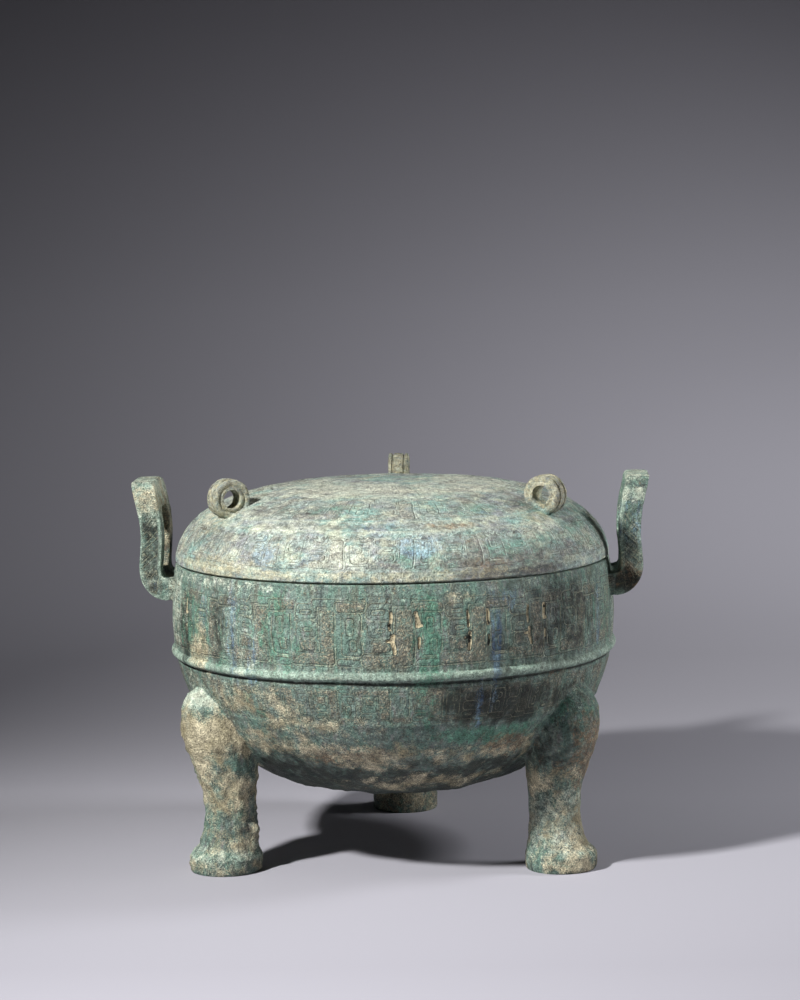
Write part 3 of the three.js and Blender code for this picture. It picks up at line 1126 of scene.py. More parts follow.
    def _gaps(self, points: np.ndarray) -> tuple[np.ndarray, np.ndarray]:
        """How far points lie outside the belly and outside the nearest leg."""
        radius, height = np.hypot(points[:, 0], points[:, 1]), points[:, 2]
        slope = np.interp(height, self.curve[1:, 1], np.diff(self.curve[:, 0]) / np.diff(self.curve[:, 1]))
        belly = (radius - self.belly(height)) / np.hypot(1, slope)
        leg = np.min([self.leg.gap(points, turn) for turn in LEG_TURNS], axis=0)
        return belly, leg

    def _soften_joins(self, body: bpy.types.Object) -> None:
        """Runs a soft fillet round the legs' and the handles' roots."""
        points = Bench.points(body)
        belly, leg = self._gaps(points)
        outside = belly > -self.wall * 0.6
        at_leg = near(belly, 0.4 * MM, 2.4 * MM) * near(leg, 0.4 * MM, 2.8 * MM) * outside
        at_leg *= step_between(0.34 * RIDGE_R, 0.4 * RIDGE_R, points[:, 2])
        at_handle = near(belly, 0.6 * MM, 1.8 * MM) * step_between(0.033, 0.029, np.abs(points[:, 1]))
        at_handle *= step_between(0.97 * RIDGE_R, 0.98 * RIDGE_R, np.abs(points[:, 0]))
        at_handle *= near(points[:, 2], 1.218 * RIDGE_R, 0.062 * RIDGE_R)
        Bench.soften(body, np.clip(at_leg * 1.4 + at_handle * outside, 0, 0.85), 7)

    def _lay_minerals(self, body: bpy.types.Object) -> None:
        """Stores where each mineral lies, the painted shade on the belly, legs and a handle's root, and where
        the relief runs.
        """
        points = Bench.points(body)
        belly, leg = self._gaps(points)
        right, height = right_of_front(points), points[:, 2] / MM
        waver = Grain(72).layered(points, (8 * MM, 8 * MM, 26 * MM), 3)
        on_leg = step_between(4.6 * MM, 3.2 * MM, leg) * step_between(-0.5 * MM, 1.2 * MM, belly)
        on_handle = step_between(1.005, 1.02, np.hypot(points[:, 0], points[:, 1]) / RIDGE_R)
        on_handle *= (points[:, 2] > 1.1 * RIDGE_R) * (np.abs(points[:, 1]) < 32 * MM)
        on_belly = (1 - on_leg) * (1 - on_handle)
        layers = {mineral: np.zeros(len(points)) for mineral in Mineral}
        lay(layers, BELLY_PATCHES, right, height, waver, on_belly)
        layers[Mineral.EARTH] = np.maximum(
            layers[Mineral.EARTH] * (height > 0.7 * RIDGE_R / MM), self.crust(points) * on_belly
        )
        lay(layers, LEG_PATCHES, right, height, waver, on_leg)
        lay(layers, HANDLE_PATCHES, right, height, waver, on_handle)
        # Painted shade: the belly is painted darker towards its bottom, standing in for the shade under the
        # bowl.
        low = step_between(0.66, 0.44, points[:, 2] / RIDGE_R) * on_belly
        raise_cover(layers, Mineral.DARK, low * 0.84)
        from_ridge = points[:, 2] - self.ridge_height
        # Painted shadow: a dark line just under the ridge, where the bead's shadow falls, laid as the dark
        # layer.
        under = near(from_ridge, -4.1 * MM, 1.3 * MM) * on_belly
        raise_cover(layers, Mineral.DARK, under)
        crest = near(from_ridge, 0.5 * MM, 2.8 * MM) * on_belly
        band = on_belly * (points[:, 2] > self.lower_low - 2 * MM)
        marks = self.relief(points)
        for side in (1, -1):
            edge, inside, border = self.handle.traces(points, side)
            here = on_handle * (points[:, 0] * side > 0) > 0.5
            marks = Marks(
                *(
                    np.where(here, getattr(edge, name), getattr(marks, name))
                    for name in ("outline", "inner", "slot", "curls", "depth")
                )
            )
            band = np.maximum(band, here)
            crest = np.maximum(crest, border * here * 0.8)
            stain = self.left_field_stain if side < 0 else self.right_field_stain
            raise_cover(layers, Mineral.DARK, inside * here * stain)
        body_wall = step_between(-self.wall * 0.5, -self.wall * 0.2, belly)
        store(body, layers, marks, band * body_wall, crest)


BELLY_PATCHES = (
    Patch(Mineral.MALACHITE, 9, 162, 5, 40, 0.66),
    Patch(Mineral.MALACHITE, 8, 118, 4, 22, 0.55),
    Patch(Mineral.MALACHITE, 26, 97, 24, 7, 0.8),
    Patch(Mineral.MALACHITE, -62, 160, 12, 34, 0.5),
    Patch(Mineral.MALACHITE, -30, 164, 10, 34, 0.5),
    Patch(Mineral.MALACHITE, -48, 150, 5, 24, 0.42),
    Patch(Mineral.MALACHITE, 70, 165, 10, 34, 0.45),
    Patch(Mineral.MALACHITE, -40, 112, 6, 14, 0.45),
    Patch(Mineral.AZURITE, 25.5, 156, 1.8, 40, 0.72),
    Patch(Mineral.AZURITE, 22, 112, 1.8, 22, 0.55),
    Patch(Mineral.AZURITE, 29, 184, 4, 8, 0.5),
    Patch(Mineral.AZURITE, -44, 160, 2.4, 36, 0.5),
    Patch(Mineral.AZURITE, -38, 144, 2.2, 26, 0.5),
    Patch(Mineral.AZURITE, -56, 174, 3, 12, 0.5),
    Patch(Mineral.AZURITE, 64, 162, 2, 28, 0.5),
    Patch(Mineral.PALE, -40, 140, 4, 5, 0.5),
    Patch(Mineral.PALE, -80, 170, 14, 34, 0.6),
    Patch(Mineral.PALE, -44, 160, 12, 30, 0.3),
    Patch(Mineral.PALE, -60, 118, 18, 18, 0.42),
    Patch(Mineral.PALE, -52, 192, 26, 4, 0.5),
    Patch(Mineral.PALE, 80, 165, 5, 40, 0.5),
    Patch(Mineral.EARTH, -59, 148, 5, 26, 0.6),
    Patch(Mineral.EARTH, 15, 186, 5, 5, 0.55),
    Patch(Mineral.EARTH, -40, 118, 22, 12, 0.5),
    Patch(Mineral.EARTH, -24, 102, 20, 12, 0.55),
    Patch(Mineral.EARTH, -36, 90, 22, 12, 0.6),
    Patch(Mineral.EARTH, -6, 84, 22, 12, 0.6),
    Patch(Mineral.EARTH, 22, 84, 20, 9, 0.5),
    Patch(Mineral.EARTH, 8, 62, 34, 9, 0.55),
    Patch(Mineral.EARTH, 42, 84, 12, 10, 0.5),
    Patch(Mineral.EARTH, 150, 84, 60, 16, 0.45),
    Patch(Mineral.RUST, 36, 88, 11, 9, 0.7),
    Patch(Mineral.RUST, 46, 132, 6, 3, 0.5),
    Patch(Mineral.RUST, -14, 84, 18, 10, 0.62),
    Patch(Mineral.RUST, -16, 138, 5, 2, 0.4),
    Patch(Mineral.DARK, 46, 166, 22, 40, 0.6),
    Patch(Mineral.DARK, 27, 152, 5, 24, 0.5),
    Patch(Mineral.DARK, 30, 117, 22, 16, 0.95),
    Patch(Mineral.DARK, 54, 112, 12, 16, 0.8),
    Patch(Mineral.DARK, -49, 164, 4, 32, 0.7),
    Patch(Mineral.DARK, -66, 158, 6, 28, 0.75),
    Patch(Mineral.DARK, -34, 78, 26, 8, 0.6),
    Patch(Mineral.DARK, -12, 74, 16, 7, 0.6),
    Patch(Mineral.DARK, 30, 72, 22, 9, 0.8),
)

LEG_PATCHES = (
    Patch(Mineral.EARTH, -62, 92, 26, 18, 0.95),
    Patch(Mineral.EARTH, -60, 58, 9, 34, 0.72),
    Patch(Mineral.EARTH, -56, 24, 12, 12, 0.52),
    Patch(Mineral.EARTH, -64, 5, 30, 6, 0.55),
    Patch(Mineral.PALE, -66, 60, 12, 60, 0.36),
    Patch(Mineral.PALE, -66, 116, 16, 10, 1.0),
    Patch(Mineral.PALE, -62, 12, 20, 8, 0.6),
    Patch(Mineral.MALACHITE, -77, 34, 8, 50, 0.95),
    Patch(Mineral.MALACHITE, -66, 34, 5, 20, 0.6),
    Patch(Mineral.MALACHITE, -50, 44, 6, 16, 0.7),
    Patch(Mineral.MALACHITE, -56, 124, 10, 8, 0.5),
    Patch(Mineral.MALACHITE, -60, 12, 14, 8, 0.42),
    # Painted shade: these dark patches darken the left leg's right side, which is turned from the light.
    Patch(Mineral.DARK, -45, 96, 5, 9, 0.7),
    Patch(Mineral.DARK, -41, 62, 8, 34, 0.95),
    Patch(Mineral.RUST, -48, 94, 5, 8, 0.5),
    Patch(Mineral.RUST, -44, 27, 5, 7, 0.9),
    Patch(Mineral.PALE, 58, 30, 22, 30, 0.6),
    Patch(Mineral.EARTH, 60, 26, 14, 24, 0.66),
    Patch(Mineral.EARTH, 58, 6, 22, 10, 0.6),
    Patch(Mineral.PALE, 60, 34, 9, 16, 0.6),
    Patch(Mineral.MALACHITE, 48, 106, 12, 12, 0.5),
    Patch(Mineral.MALACHITE, 68, 114, 8, 10, 0.7),
    Patch(Mineral.MALACHITE, 74, 90, 6, 30, 0.4),
    Patch(Mineral.AZURITE, 46, 104, 6, 10, 0.3),
    Patch(Mineral.RUST, 62, 78, 14, 34, 0.75),
    Patch(Mineral.EARTH, 64, 80, 9, 30, 0.5),
    Patch(Mineral.EARTH, 50, 60, 7, 12, 0.66),
    # Painted shadow: these dark patches on the right leg's upper left stand for the shadow the bowl casts on
    # it.
    Patch(Mineral.DARK, 46, 84, 7, 22, 0.62),
    Patch(Mineral.DARK, 56, 70, 8, 14, 0.5),
    Patch(Mineral.DARK, 60, 3, 22, 6, 0.6),
    Patch(Mineral.EARTH, 177, 40, 20, 60, 0.6),
    Patch(Mineral.RUST, 177, 16, 30, 24, 0.5),
    Patch(Mineral.DARK, 177, 60, 30, 30, 0.3),
)

HANDLE_PATCHES = (
    Patch(Mineral.PALE, -90, 240, 16, 22, 0.78),
    Patch(Mineral.PALE, -90, 190, 14, 22, 0.4),
    Patch(Mineral.AZURITE, -80, 182, 5, 6, 0.4),
    Patch(Mineral.PALE, 77, 238, 4, 6, 0.7),
    Patch(Mineral.PALE, 90, 249, 20, 4, 0.7),
    Patch(Mineral.MALACHITE, 90, 222, 14, 34, 0.4),
    Patch(Mineral.PALE, 90, 210, 16, 30, 0.45),
    Patch(Mineral.AZURITE, 77, 222, 5, 24, 0.35),
    Patch(Mineral.RUST, 82, 184, 12, 12, 0.5),
    Patch(Mineral.EARTH, 80, 196, 8, 8, 0.5),
    # Painted shade: a dark patch at the right handle's root, where the lid's shadow falls.
    Patch(Mineral.DARK, 82, 181, 12, 9, 0.85),
    Patch(Mineral.EARTH, -96, 215, 10, 40, 0.55),
    Patch(Mineral.RUST, -96, 215, 10, 40, 0.55),
    Patch(Mineral.EARTH, -83, 238, 7, 14, 0.55),
)


# ---- the lid --------------------------------------------------------------------------------


@dataclass
class Lid:
    """The lid: a domed shell with bands of relief and three ring knobs, cast as one."""

    columns: int = 220
    wall: float = 3.6 * MM
    radius: float = SEAM_RADIUS
    seam_height: float = SEAM_HEIGHT
    gap: float = 0.3 * MM
    slit: float = 1.1 * MM
    slit_depth: float = 2.2 * MM
    rise: float = 0.336 * RIDGE_R
    fullness: float = 3.6
    crown: float = 1.2 * MM
    lip_radius: float = LIP_RADIUS
    lip_rise: float = LIP_RISE
    knob_place: float = 0.798 * RIDGE_R
    knob_height: float = 1.642 * RIDGE_R
    knob_radius: float = 12.7 * MM
    knob_hole: float = 5.9 * MM
    knob_width: float = 12.8 * MM
    rear_knob_width: float = 14.4 * MM
    ring_lines: tuple[float, ...] = (5.2, 34.8, 44.2, 85.4)
    outer_band: Interlace = field(default_factory=lambda: Interlace(19, 0.9, slots=()))
    inner_band: Interlace = field(default_factory=lambda: Interlace(14, 0.8, slots=()))
    centre_band: Interlace = field(default_factory=lambda: Interlace(7, 0.6, slots=()))

    def __post_init__(self) -> None:
        """Measures the dome's radii, heights and the way along it from the edge inwards."""
        share = np.sin(np.linspace(math.pi / 2, 0, 4000))
        self.radii = self.radius * share
        self.heights = self.seam_height + self.slit + self.dome(self.radii)
        steps = np.hypot(np.diff(self.radii), np.diff(self.heights))
        self.along = np.concatenate([[0], np.cumsum(steps)])

    def dome(self, radius: np.ndarray, span: float = 0.0, rise: float = 0.0) -> np.ndarray:
        """The dome's height over its edge at radii, for the outer dome or one of another size."""
        share = np.clip(radius / (span or self.radius), 0, 1)
        rise = rise or self.rise
        return rise * np.sqrt(np.maximum(1 - share**self.fullness, 0)) + self.crown * (1 - share) ** 2

    def way(self, points: np.ndarray) -> np.ndarray:
        """How far in from the edge points of the dome lie, measured along it."""
        by_radius = np.interp(np.hypot(points[:, 0], points[:, 1]), self.radii[::-1], self.along[::-1])
        by_height = np.interp(points[:, 2], self.heights, self.along)
        return np.where(points[:, 2] < self.seam_height + 28 * MM, by_height, by_radius)

    def _shell(self) -> bpy.types.Object:
        """The lid's outer dome with its slit and seat, closed underneath."""
        radii, heights, along = self.radii, self.heights, self.along
        zones = ((5.5 * MM, 2.2 * MM), (33 * MM, 4.4 * MM), (88 * MM, 3.4 * MM), (130 * MM, 2.3 * MM))
        edge, seat = self.seam_height + self.slit, self.seam_height + self.gap
        rows = [
            (self.radius - self.slit_depth, seat),
            (self.radius - self.slit_depth, edge),
            (self.radius - 0.8 * MM, edge),
            (self.radius - 0.2 * MM, edge + 0.35 * MM),
        ]
        start = 1.2 * MM
        places = [start]
        for limit, pitch in zones:
            count = max(round((limit - start) / pitch), 1)
            places += list(np.linspace(start, limit, count + 1)[1:])
            start = limit
        end = float(along[-1])
        places += list(np.linspace(start, end - 3 * MM, round((end - start) / (4 * MM)))[1:])
        for place in places:
            rows.append((float(np.interp(place, along, radii)), float(np.interp(place, along, heights))))
        shell = Bench.ring("lid_bronze", self.radius - 9 * MM, seat, self.columns)
        Bench.raise_rings(shell, rows)
        Bench.close(shell)
        reach = [float(np.interp(limit, along, radii)) for limit, _ in zones]
        low = edge + 0.2 * MM
        level = float(np.interp(5.5 * MM, along, heights))

        def ring_of(outer: float, inner: float) -> Callable[[np.ndarray], np.ndarray]:
            """A test for faces of the dome between two radii."""

            def inside(at: np.ndarray) -> np.ndarray:
                """True for each face of the dome between the radii."""
                radius = np.hypot(at[:, 0], at[:, 1])
                return (at[:, 2] > level) & (radius < outer) & (radius > inner)

            return inside

        Bench.refine(shell, 1, ring_of(reach[2], reach[3]))
        Bench.refine(shell, 2, ring_of(reach[1], reach[2]))
        Bench.refine(shell, 3, ring_of(self.radius, reach[1]))
        Bench.refine(shell, 1, lambda at: (at[:, 2] > low) & (at[:, 2] < level))
        return shell

    def relief(self, points: np.ndarray) -> Marks:
        """The relief of the three bands at points of the dome."""
        way = self.way(points) / MM
        right = right_of_front(points) / 360
        grain = Grain(13)
        waver = grain.layered(points, 5 * MM, 2)
        warp = np.stack([grain.at(points, 22 * MM), Grain(14).at(points, 22 * MM)], axis=1)
        drift = 0.08 * np.sin(right * TURN * 2)
        bands = []
        for band, start, end in (
            (self.outer_band, 6.4, 33.6),
            (self.inner_band, 45.5, 84.0),
            (self.centre_band, 88.0, 128.0),
        ):
            rise = (way - (start + end) / 2) / ((end - start) / 2)
            bands.append(band.marks(right * band.count + drift + 0.3, rise, waver, warp))
        return Marks.over(Marks.over(bands[0], bands[1]), bands[2])

    def _shape_shell(self, shell: bpy.types.Object) -> None:
        """Puts the dome's vertices on its true round, then adds the relief, lines and wear."""
        points = Bench.points(shell)
        turn = np.arctan2(points[:, 1], points[:, 0])
        radius = np.hypot(points[:, 0], points[:, 1])
        dome = points[:, 2] > self.seam_height + self.slit + 0.6 * MM
        way = self.way(points)
        fair = np.interp(way, self.along, self.radii)
        points[dome, 0] = (fair * np.cos(turn))[dome]
        points[dome, 1] = (fair * np.sin(turn))[dome]
        points[dome, 2] = np.interp(way, self.along, self.heights)[dome]
        Bench.place(shell, points)
        grain = Grain(17)
        lines = sum(near(way, place * MM, 0.75 * MM) for place in self.ring_lines)
        wear = grain.layered(points, 22 * MM) * 0.35 * MM + grain.layered(points, 5 * MM) * 0.14 * MM
        wear += Grain(18).layered(points, 2.4 * MM, 2) * 0.06 * MM
        wear -= np.maximum(grain.at(points, 3.2 * MM) - 0.68, 0) * 1.3 * MM
        right = right_of_front(points)
        dents = near(way, 3.0 * MM, 1.0 * MM) * step_between(0.2, 0.6, np.sin(np.radians(right * 86)))
        dents *= near(right, 33, 8)
        lift = lines * 0.38 * MM + wear - self.relief(points).depth * 0.8 - dents * 0.5 * MM
        lift *= step_between(0.4 * MM, 3 * MM, way) * dome
        lift = np.where(way < 7 * MM, np.minimum(lift, 0.25 * MM), lift)
        points += Bench.outwards(shell) * np.where(radius > 2.5 * MM, lift, 0)[:, None]
        Bench.place(shell, points)

    def _knob(self, name: str, turn: float, width: float, seed: int) -> bpy.types.Object:
        """One ring knob, standing on edge and pointing to the axis."""
        half, outer, hole = width / 2, self.knob_radius, self.knob_hole
        groove = 1.0 * MM
        face = [
            (hole + 0.4 * MM, half),
            (hole + 1.6 * MM, half),
            (hole + 2.3 * MM, half - 0.7 * MM),
            (hole + 3.1 * MM, half - 0.7 * MM),
            (hole + 3.8 * MM, half - 0.1 * MM),
            (outer - 1.4 * MM, half - 0.1 * MM),
            (outer - 0.5 * MM, half - 0.4 * MM),
            (outer, half - 1.1 * MM),
            (outer, half - 2.4 * MM),
            (outer - groove, half - 2.9 * MM),
            (outer - groove, half - 3.7 * MM),
            (outer + 0.1 * MM, half - 4.2 * MM),
            (outer + 0.2 * MM, half - 5.3 * MM),
        ]
        stations = [(radius, -place) for radius, place in face] + [(outer + 0.2 * MM, 0.0)]
        stations += face[::-1] + [(hole, half - 0.5 * MM), (hole, 0.0), (hole, 0.5 * MM - half)]
        knob = Bench.ring(name, stations[0][0], stations[0][1], 60)
        Bench.raise_rings(knob, stations[1:])
        with Bench.editing(knob):
            Bench.pick_rims()
            bpy.ops.mesh.bridge_edge_loops()
            Bench.face_outwards()
        knob.data.transform(Matrix.Rotation(math.pi / 2, 4, "X"))
        knob.data.transform(Matrix.Translation(Vector((self.knob_place, 0, self.knob_height))))
        knob.data.transform(Matrix.Rotation(turn, 4, "Z"))
        points = Bench.points(knob)
        grain = Grain(seed)
        wear = grain.layered(points, 5 * MM) * 0.32 * MM + grain.layered(points, 2.2 * MM, 2) * 0.12 * MM
        wear -= np.maximum(grain.at(points, 2.6 * MM) - 0.6, 0) * 1.0 * MM
        Bench.place(knob, points + Bench.outwards(knob) * wear[:, None])
        return knob

    def _hollow(self) -> bpy.types.Object:
        """The space under the lid, as a closed piece to cut away."""
        seat = self.seam_height + self.gap
        clear = self.lip_radius + self.gap
        span = self.radius - self.wall
        share = np.sin(np.linspace(math.pi / 2, 0, 26))[:-1]
        radii = span * share
        heights = seat + self.dome(radii, span, self.rise - self.wall)
        rows = [(clear, seat + self.lip_rise + 0.8 * MM)]
        rows += [(float(r), float(z)) for r, z in zip(radii, heights) if r < clear - 0.5 * MM]
        hollow = Bench.ring("lid_hollow", clear, seat - 1 * MM, self.columns // 2)
        Bench.raise_rings(hollow, rows)
        Bench.close(hollow)
        return hollow

    def build(self) -> bpy.types.Object:
        """The whole lid, closed and with its finish's layers stored.

        Returns:
            The lid piece.
        """
        lid = self._shell()
        self._shape_shell(lid)
        for index, turn in enumerate(LEG_TURNS):
            width = self.knob_width if index else self.rear_knob_width
            Bench.combine(lid, self._knob(f"knob_{index}", turn, width, 51 + index), "UNION")
        Bench.combine(lid, self._hollow(), "DIFFERENCE")
        self._lay_minerals(lid)
        Bench.smooth(lid, 50)
        return lid

    def _lay_minerals(self, lid: bpy.types.Object) -> None:
        """Stores where each mineral lies and where the relief runs."""
        points = Bench.points(lid)
        radius, height = np.hypot(points[:, 0], points[:, 1]), points[:, 2]
        way = self.way(points)
        waver = Grain(83).layered(points, 12 * MM, 3)
        over_dome = height - self.seam_height - self.slit - self.dome(radius)
        on_knob = step_between(0.9 * MM, 1.8 * MM, over_dome) * (radius < 0.93 * self.radius)
        under = step_between(-1.6 * MM, -2.8 * MM, over_dome) * (radius < 0.96 * self.radius)
        bare = (1 - on_knob) * (1 - under)
        layers = {mineral: np.zeros(len(points)) for mineral in Mineral}
        lay(layers, LID_PATCHES, right_of_front(points), way / MM, waver, bare)
        raise_cover(layers, Mineral.RUST, on_knob * 0.3)
        raise_cover(layers, Mineral.EARTH, on_knob * 0.6)
        rightward = np.where(right_of_front(points) > 0, 0.5, 0.4)
        raise_cover(layers, Mineral.DARK, on_knob * rightward)
        raise_cover(layers, Mineral.DARK, under * 0.6)
        crest = sum(near(way, place * MM, 0.9 * MM) for place in self.ring_lines) * bare * 0.7
        store(lid, layers, self.relief(points), bare, crest)


# Heights on the lid are millimetres inwards from the edge, measured along the dome.
LID_PATCHES = (
    Patch(Mineral.PALE, -70, 60, 40, 50, 0.5),
    Patch(Mineral.PALE, -20, 110, 120, 36, 0.74),
    Patch(Mineral.PALE, 70, 112, 80, 34, 0.74),
    Patch(Mineral.PALE, -14, 18, 12, 14, 0.55),
    Patch(Mineral.PALE, -34, 40, 20, 8, 0.5),
    Patch(Mineral.PALE, 46, 34, 9, 9, 0.5),
    Patch(Mineral.PALE, 180, 80, 90, 50, 0.45),
    Patch(Mineral.EARTH, -52, 5, 18, 9, 0.66),
    Patch(Mineral.EARTH, -34, 4, 8, 4, 0.6),
    Patch(Mineral.EARTH, 2, 3, 40, 5, 0.5),
    Patch(Mineral.EARTH, -66, 38, 16, 20, 0.42),
    Patch(Mineral.EARTH, 48, 40, 8, 6, 0.5),
    Patch(Mineral.RUST, 18, 39, 8, 4, 0.72),
    Patch(Mineral.RUST, 26, 9, 8, 5, 0.55),
    Patch(Mineral.RUST, 22, 27, 6, 5, 0.42),
    Patch(Mineral.RUST, 12, 40, 4, 3, 0.6),
    Patch(Mineral.AZURITE, -36, 18, 5, 14, 0.6),
    Patch(Mineral.AZURITE, 7, 24, 9, 10, 0.62),
    Patch(Mineral.AZURITE, -4, 42, 9, 8, 0.42),
    Patch(Mineral.AZURITE, 30, 54, 12, 8, 0.35),
    Patch(Mineral.AZURITE, -22, 20, 6, 12, 0.35),
    Patch(Mineral.MALACHITE, 7, 14, 11, 9, 0.65),
    Patch(Mineral.MALACHITE, 26, 56, 24, 12, 0.5),
    Patch(Mineral.MALACHITE, 36, 20, 14, 12, 0.5),
    Patch(Mineral.MALACHITE, -20, 60, 12, 10, 0.45),
    Patch(Mineral.MALACHITE, 68, 30, 22, 26, 0.45),
    Patch(Mineral.DARK, 35, 3, 20, 3, 0.9),
    Patch(Mineral.DARK, 30, 12, 24, 9, 0.62),
    Patch(Mineral.DARK, 70, 34, 20, 30, 0.5),
    Patch(Mineral.DARK, 44, 12, 8, 9, 0.5),
    Patch(Mineral.DARK, -22, 40, 22, 4.5, 0.62),
    Patch(Mineral.DARK, -40, 56, 18, 9, 0.7),
    Patch(Mineral.DARK, -60, 26, 16, 14, 0.62),
    Patch(Mineral.DARK, 0, 41, 16, 4, 0.45),
    Patch(Mineral.DARK, -10, 66, 30, 5, 0.42),
    Patch(Mineral.DARK, -20, 124, 60, 6, 0.42),
)


# ---- the finishes ---------------------------------------------------------------------------

Colour = tuple[float, float, float, float]


def srgb(red: int, green: int, blue: int) -> Colour:
    """A colour given in steps of 255, as a linear colour with full alpha."""
    shares = (value / 255 for value in (red, green, blue))
    return (*(share / 12.92 if share <= 0.04 else ((share + 0.055) / 1.055) ** 2.4 for share in shares), 1.0)


class NodeBench:
    """Adds and joins nodes of one material."""

    def __init__(self, material: bpy.types.Material) -> None:
        """Starts with an empty node tree that reads the object's coordinates."""
        material.use_nodes = True
        self.tree = material.node_tree
        self.tree.nodes.clear()
        self.place = self.node("ShaderNodeTexCoord").outputs["Object"]

    def node(self, kind: str, **settings: object) -> bpy.types.Node:
        """A new node with some of its settings made."""
        made = self.tree.nodes.new(kind)
        for name, value in settings.items():
            setattr(made, name, value)
        return made

    def feed(self, socket: bpy.types.NodeSocket, value: object) -> None:
        """Joins an output to a socket, or sets the socket's own value."""
        if isinstance(value, bpy.types.NodeSocket):
            self.tree.links.new(value, socket)
        else:
            socket.default_value = value

    def noise(
        self,
        size_mm: float,
        detail: float = 3.0,
        upright: float = 1.0,
        shift: float = 0.0,
        rough: float = 0.55,
    ) -> bpy.types.NodeSocket:
        """Noise with lumps of a size in millimetres.

        Args:
            size_mm: How wide a lump is.
            detail: How many finer layers it has.
            upright: How many times taller than wide a lump is.
            shift: Moves the pattern, so that two noises of one size differ.
            rough: How strong the finer layers are.

        Returns:
            The noise, about 0.5.
        """
        mapping = self.node("ShaderNodeMapping")
        self.feed(mapping.inputs["Vector"], self.place)
        mapping.inputs["Location"].default_value = (shift, shift * 0.7, -shift)
        mapping.inputs["Scale"].default_value = (1, 1, 1 / upright)
        made = self.node("ShaderNodeTexNoise")
        self.feed(made.inputs["Vector"], mapping.outputs["Vector"])
        made.inputs["Scale"].default_value = 1000 / size_mm
        made.inputs["Detail"].default_value = detail
        made.inputs["Roughness"].default_value = rough
        return made.outputs["Fac"]

    def math(self, operation: str, *values: object) -> bpy.types.NodeSocket:
        """The result of one operation on numbers."""
        made = self.node("ShaderNodeMath", operation=operation)
        for socket, value in zip(made.inputs, values):
            self.feed(socket, value)
        return made.outputs["Value"]

    def times(self, *values: object) -> bpy.types.NodeSocket:
        """The product of several values."""
        product = values[0]
        for value in values[1:]:
            product = self.math("MULTIPLY", product, value)
        return product

    def ramp(
        self, value: object, low: float, high: float, start: float = 0.0, end: float = 1.0
    ) -> bpy.types.NodeSocket:
        """A value that goes from start at low to end at high."""
        made = self.node("ShaderNodeMapRange", clamp=True)
        self.feed(made.inputs["Value"], value)
        for name, given in (("From Min", low), ("From Max", high), ("To Min", start), ("To Max", end)):
            made.inputs[name].default_value = given
        return made.outputs["Result"]

    def mix(self, share: object, first: object, second: object, blend: str = "MIX") -> bpy.types.NodeSocket:
        """Two colours mixed."""
        made = self.node("ShaderNodeMix", data_type="RGBA", blend_type=blend)
        self.feed(made.inputs["Factor"], share)
        self.feed(made.inputs[6], first)
        self.feed(made.inputs[7], second)
        return made.outputs[2]

    def stored(self, layer: Enum) -> bpy.types.NodeSocket:
        """What the mesh holds under a layer's name."""
        return self.node("ShaderNodeAttribute", attribute_name=layer.value).outputs["Fac"]

    def distance(self, layer: Enum) -> bpy.types.NodeSocket:
        """The signed distance to an outline, in millimetres."""
        return self.math("MULTIPLY_ADD", self.stored(layer), 2 * FAR, -FAR)

    def surface(self, shader: bpy.types.Node) -> None:
        """Makes a shader the material's surface."""
        self.feed(self.node("ShaderNodeOutputMaterial").inputs["Surface"], shader.outputs["BSDF"])

    def line(self, distance: bpy.types.NodeSocket, place: float, half_width: float) -> bpy.types.NodeSocket:
        """1 on a thin line that keeps a place beside an outline."""
        off = self.math("ABSOLUTE", self.math("SUBTRACT", distance, place))
        return self.ramp(off, half_width, half_width * 0.35)


@dataclass(frozen=True)
class Wash:
    """A thin stain over the ground: its colour, its lumps and how much of the ground it takes."""

    colour: Colour
    size: float
    upright: float
    low: float
    high: float
    strength: float


@dataclass(frozen=True)
class Cover:
    """How one mineral looks: two colours, and how large its crumbs are."""

    mineral: Mineral
    colour: Colour
    other: Colour
    crumbs: float = 4.0
    strength: float = 1.0
    upright: float = 1.0


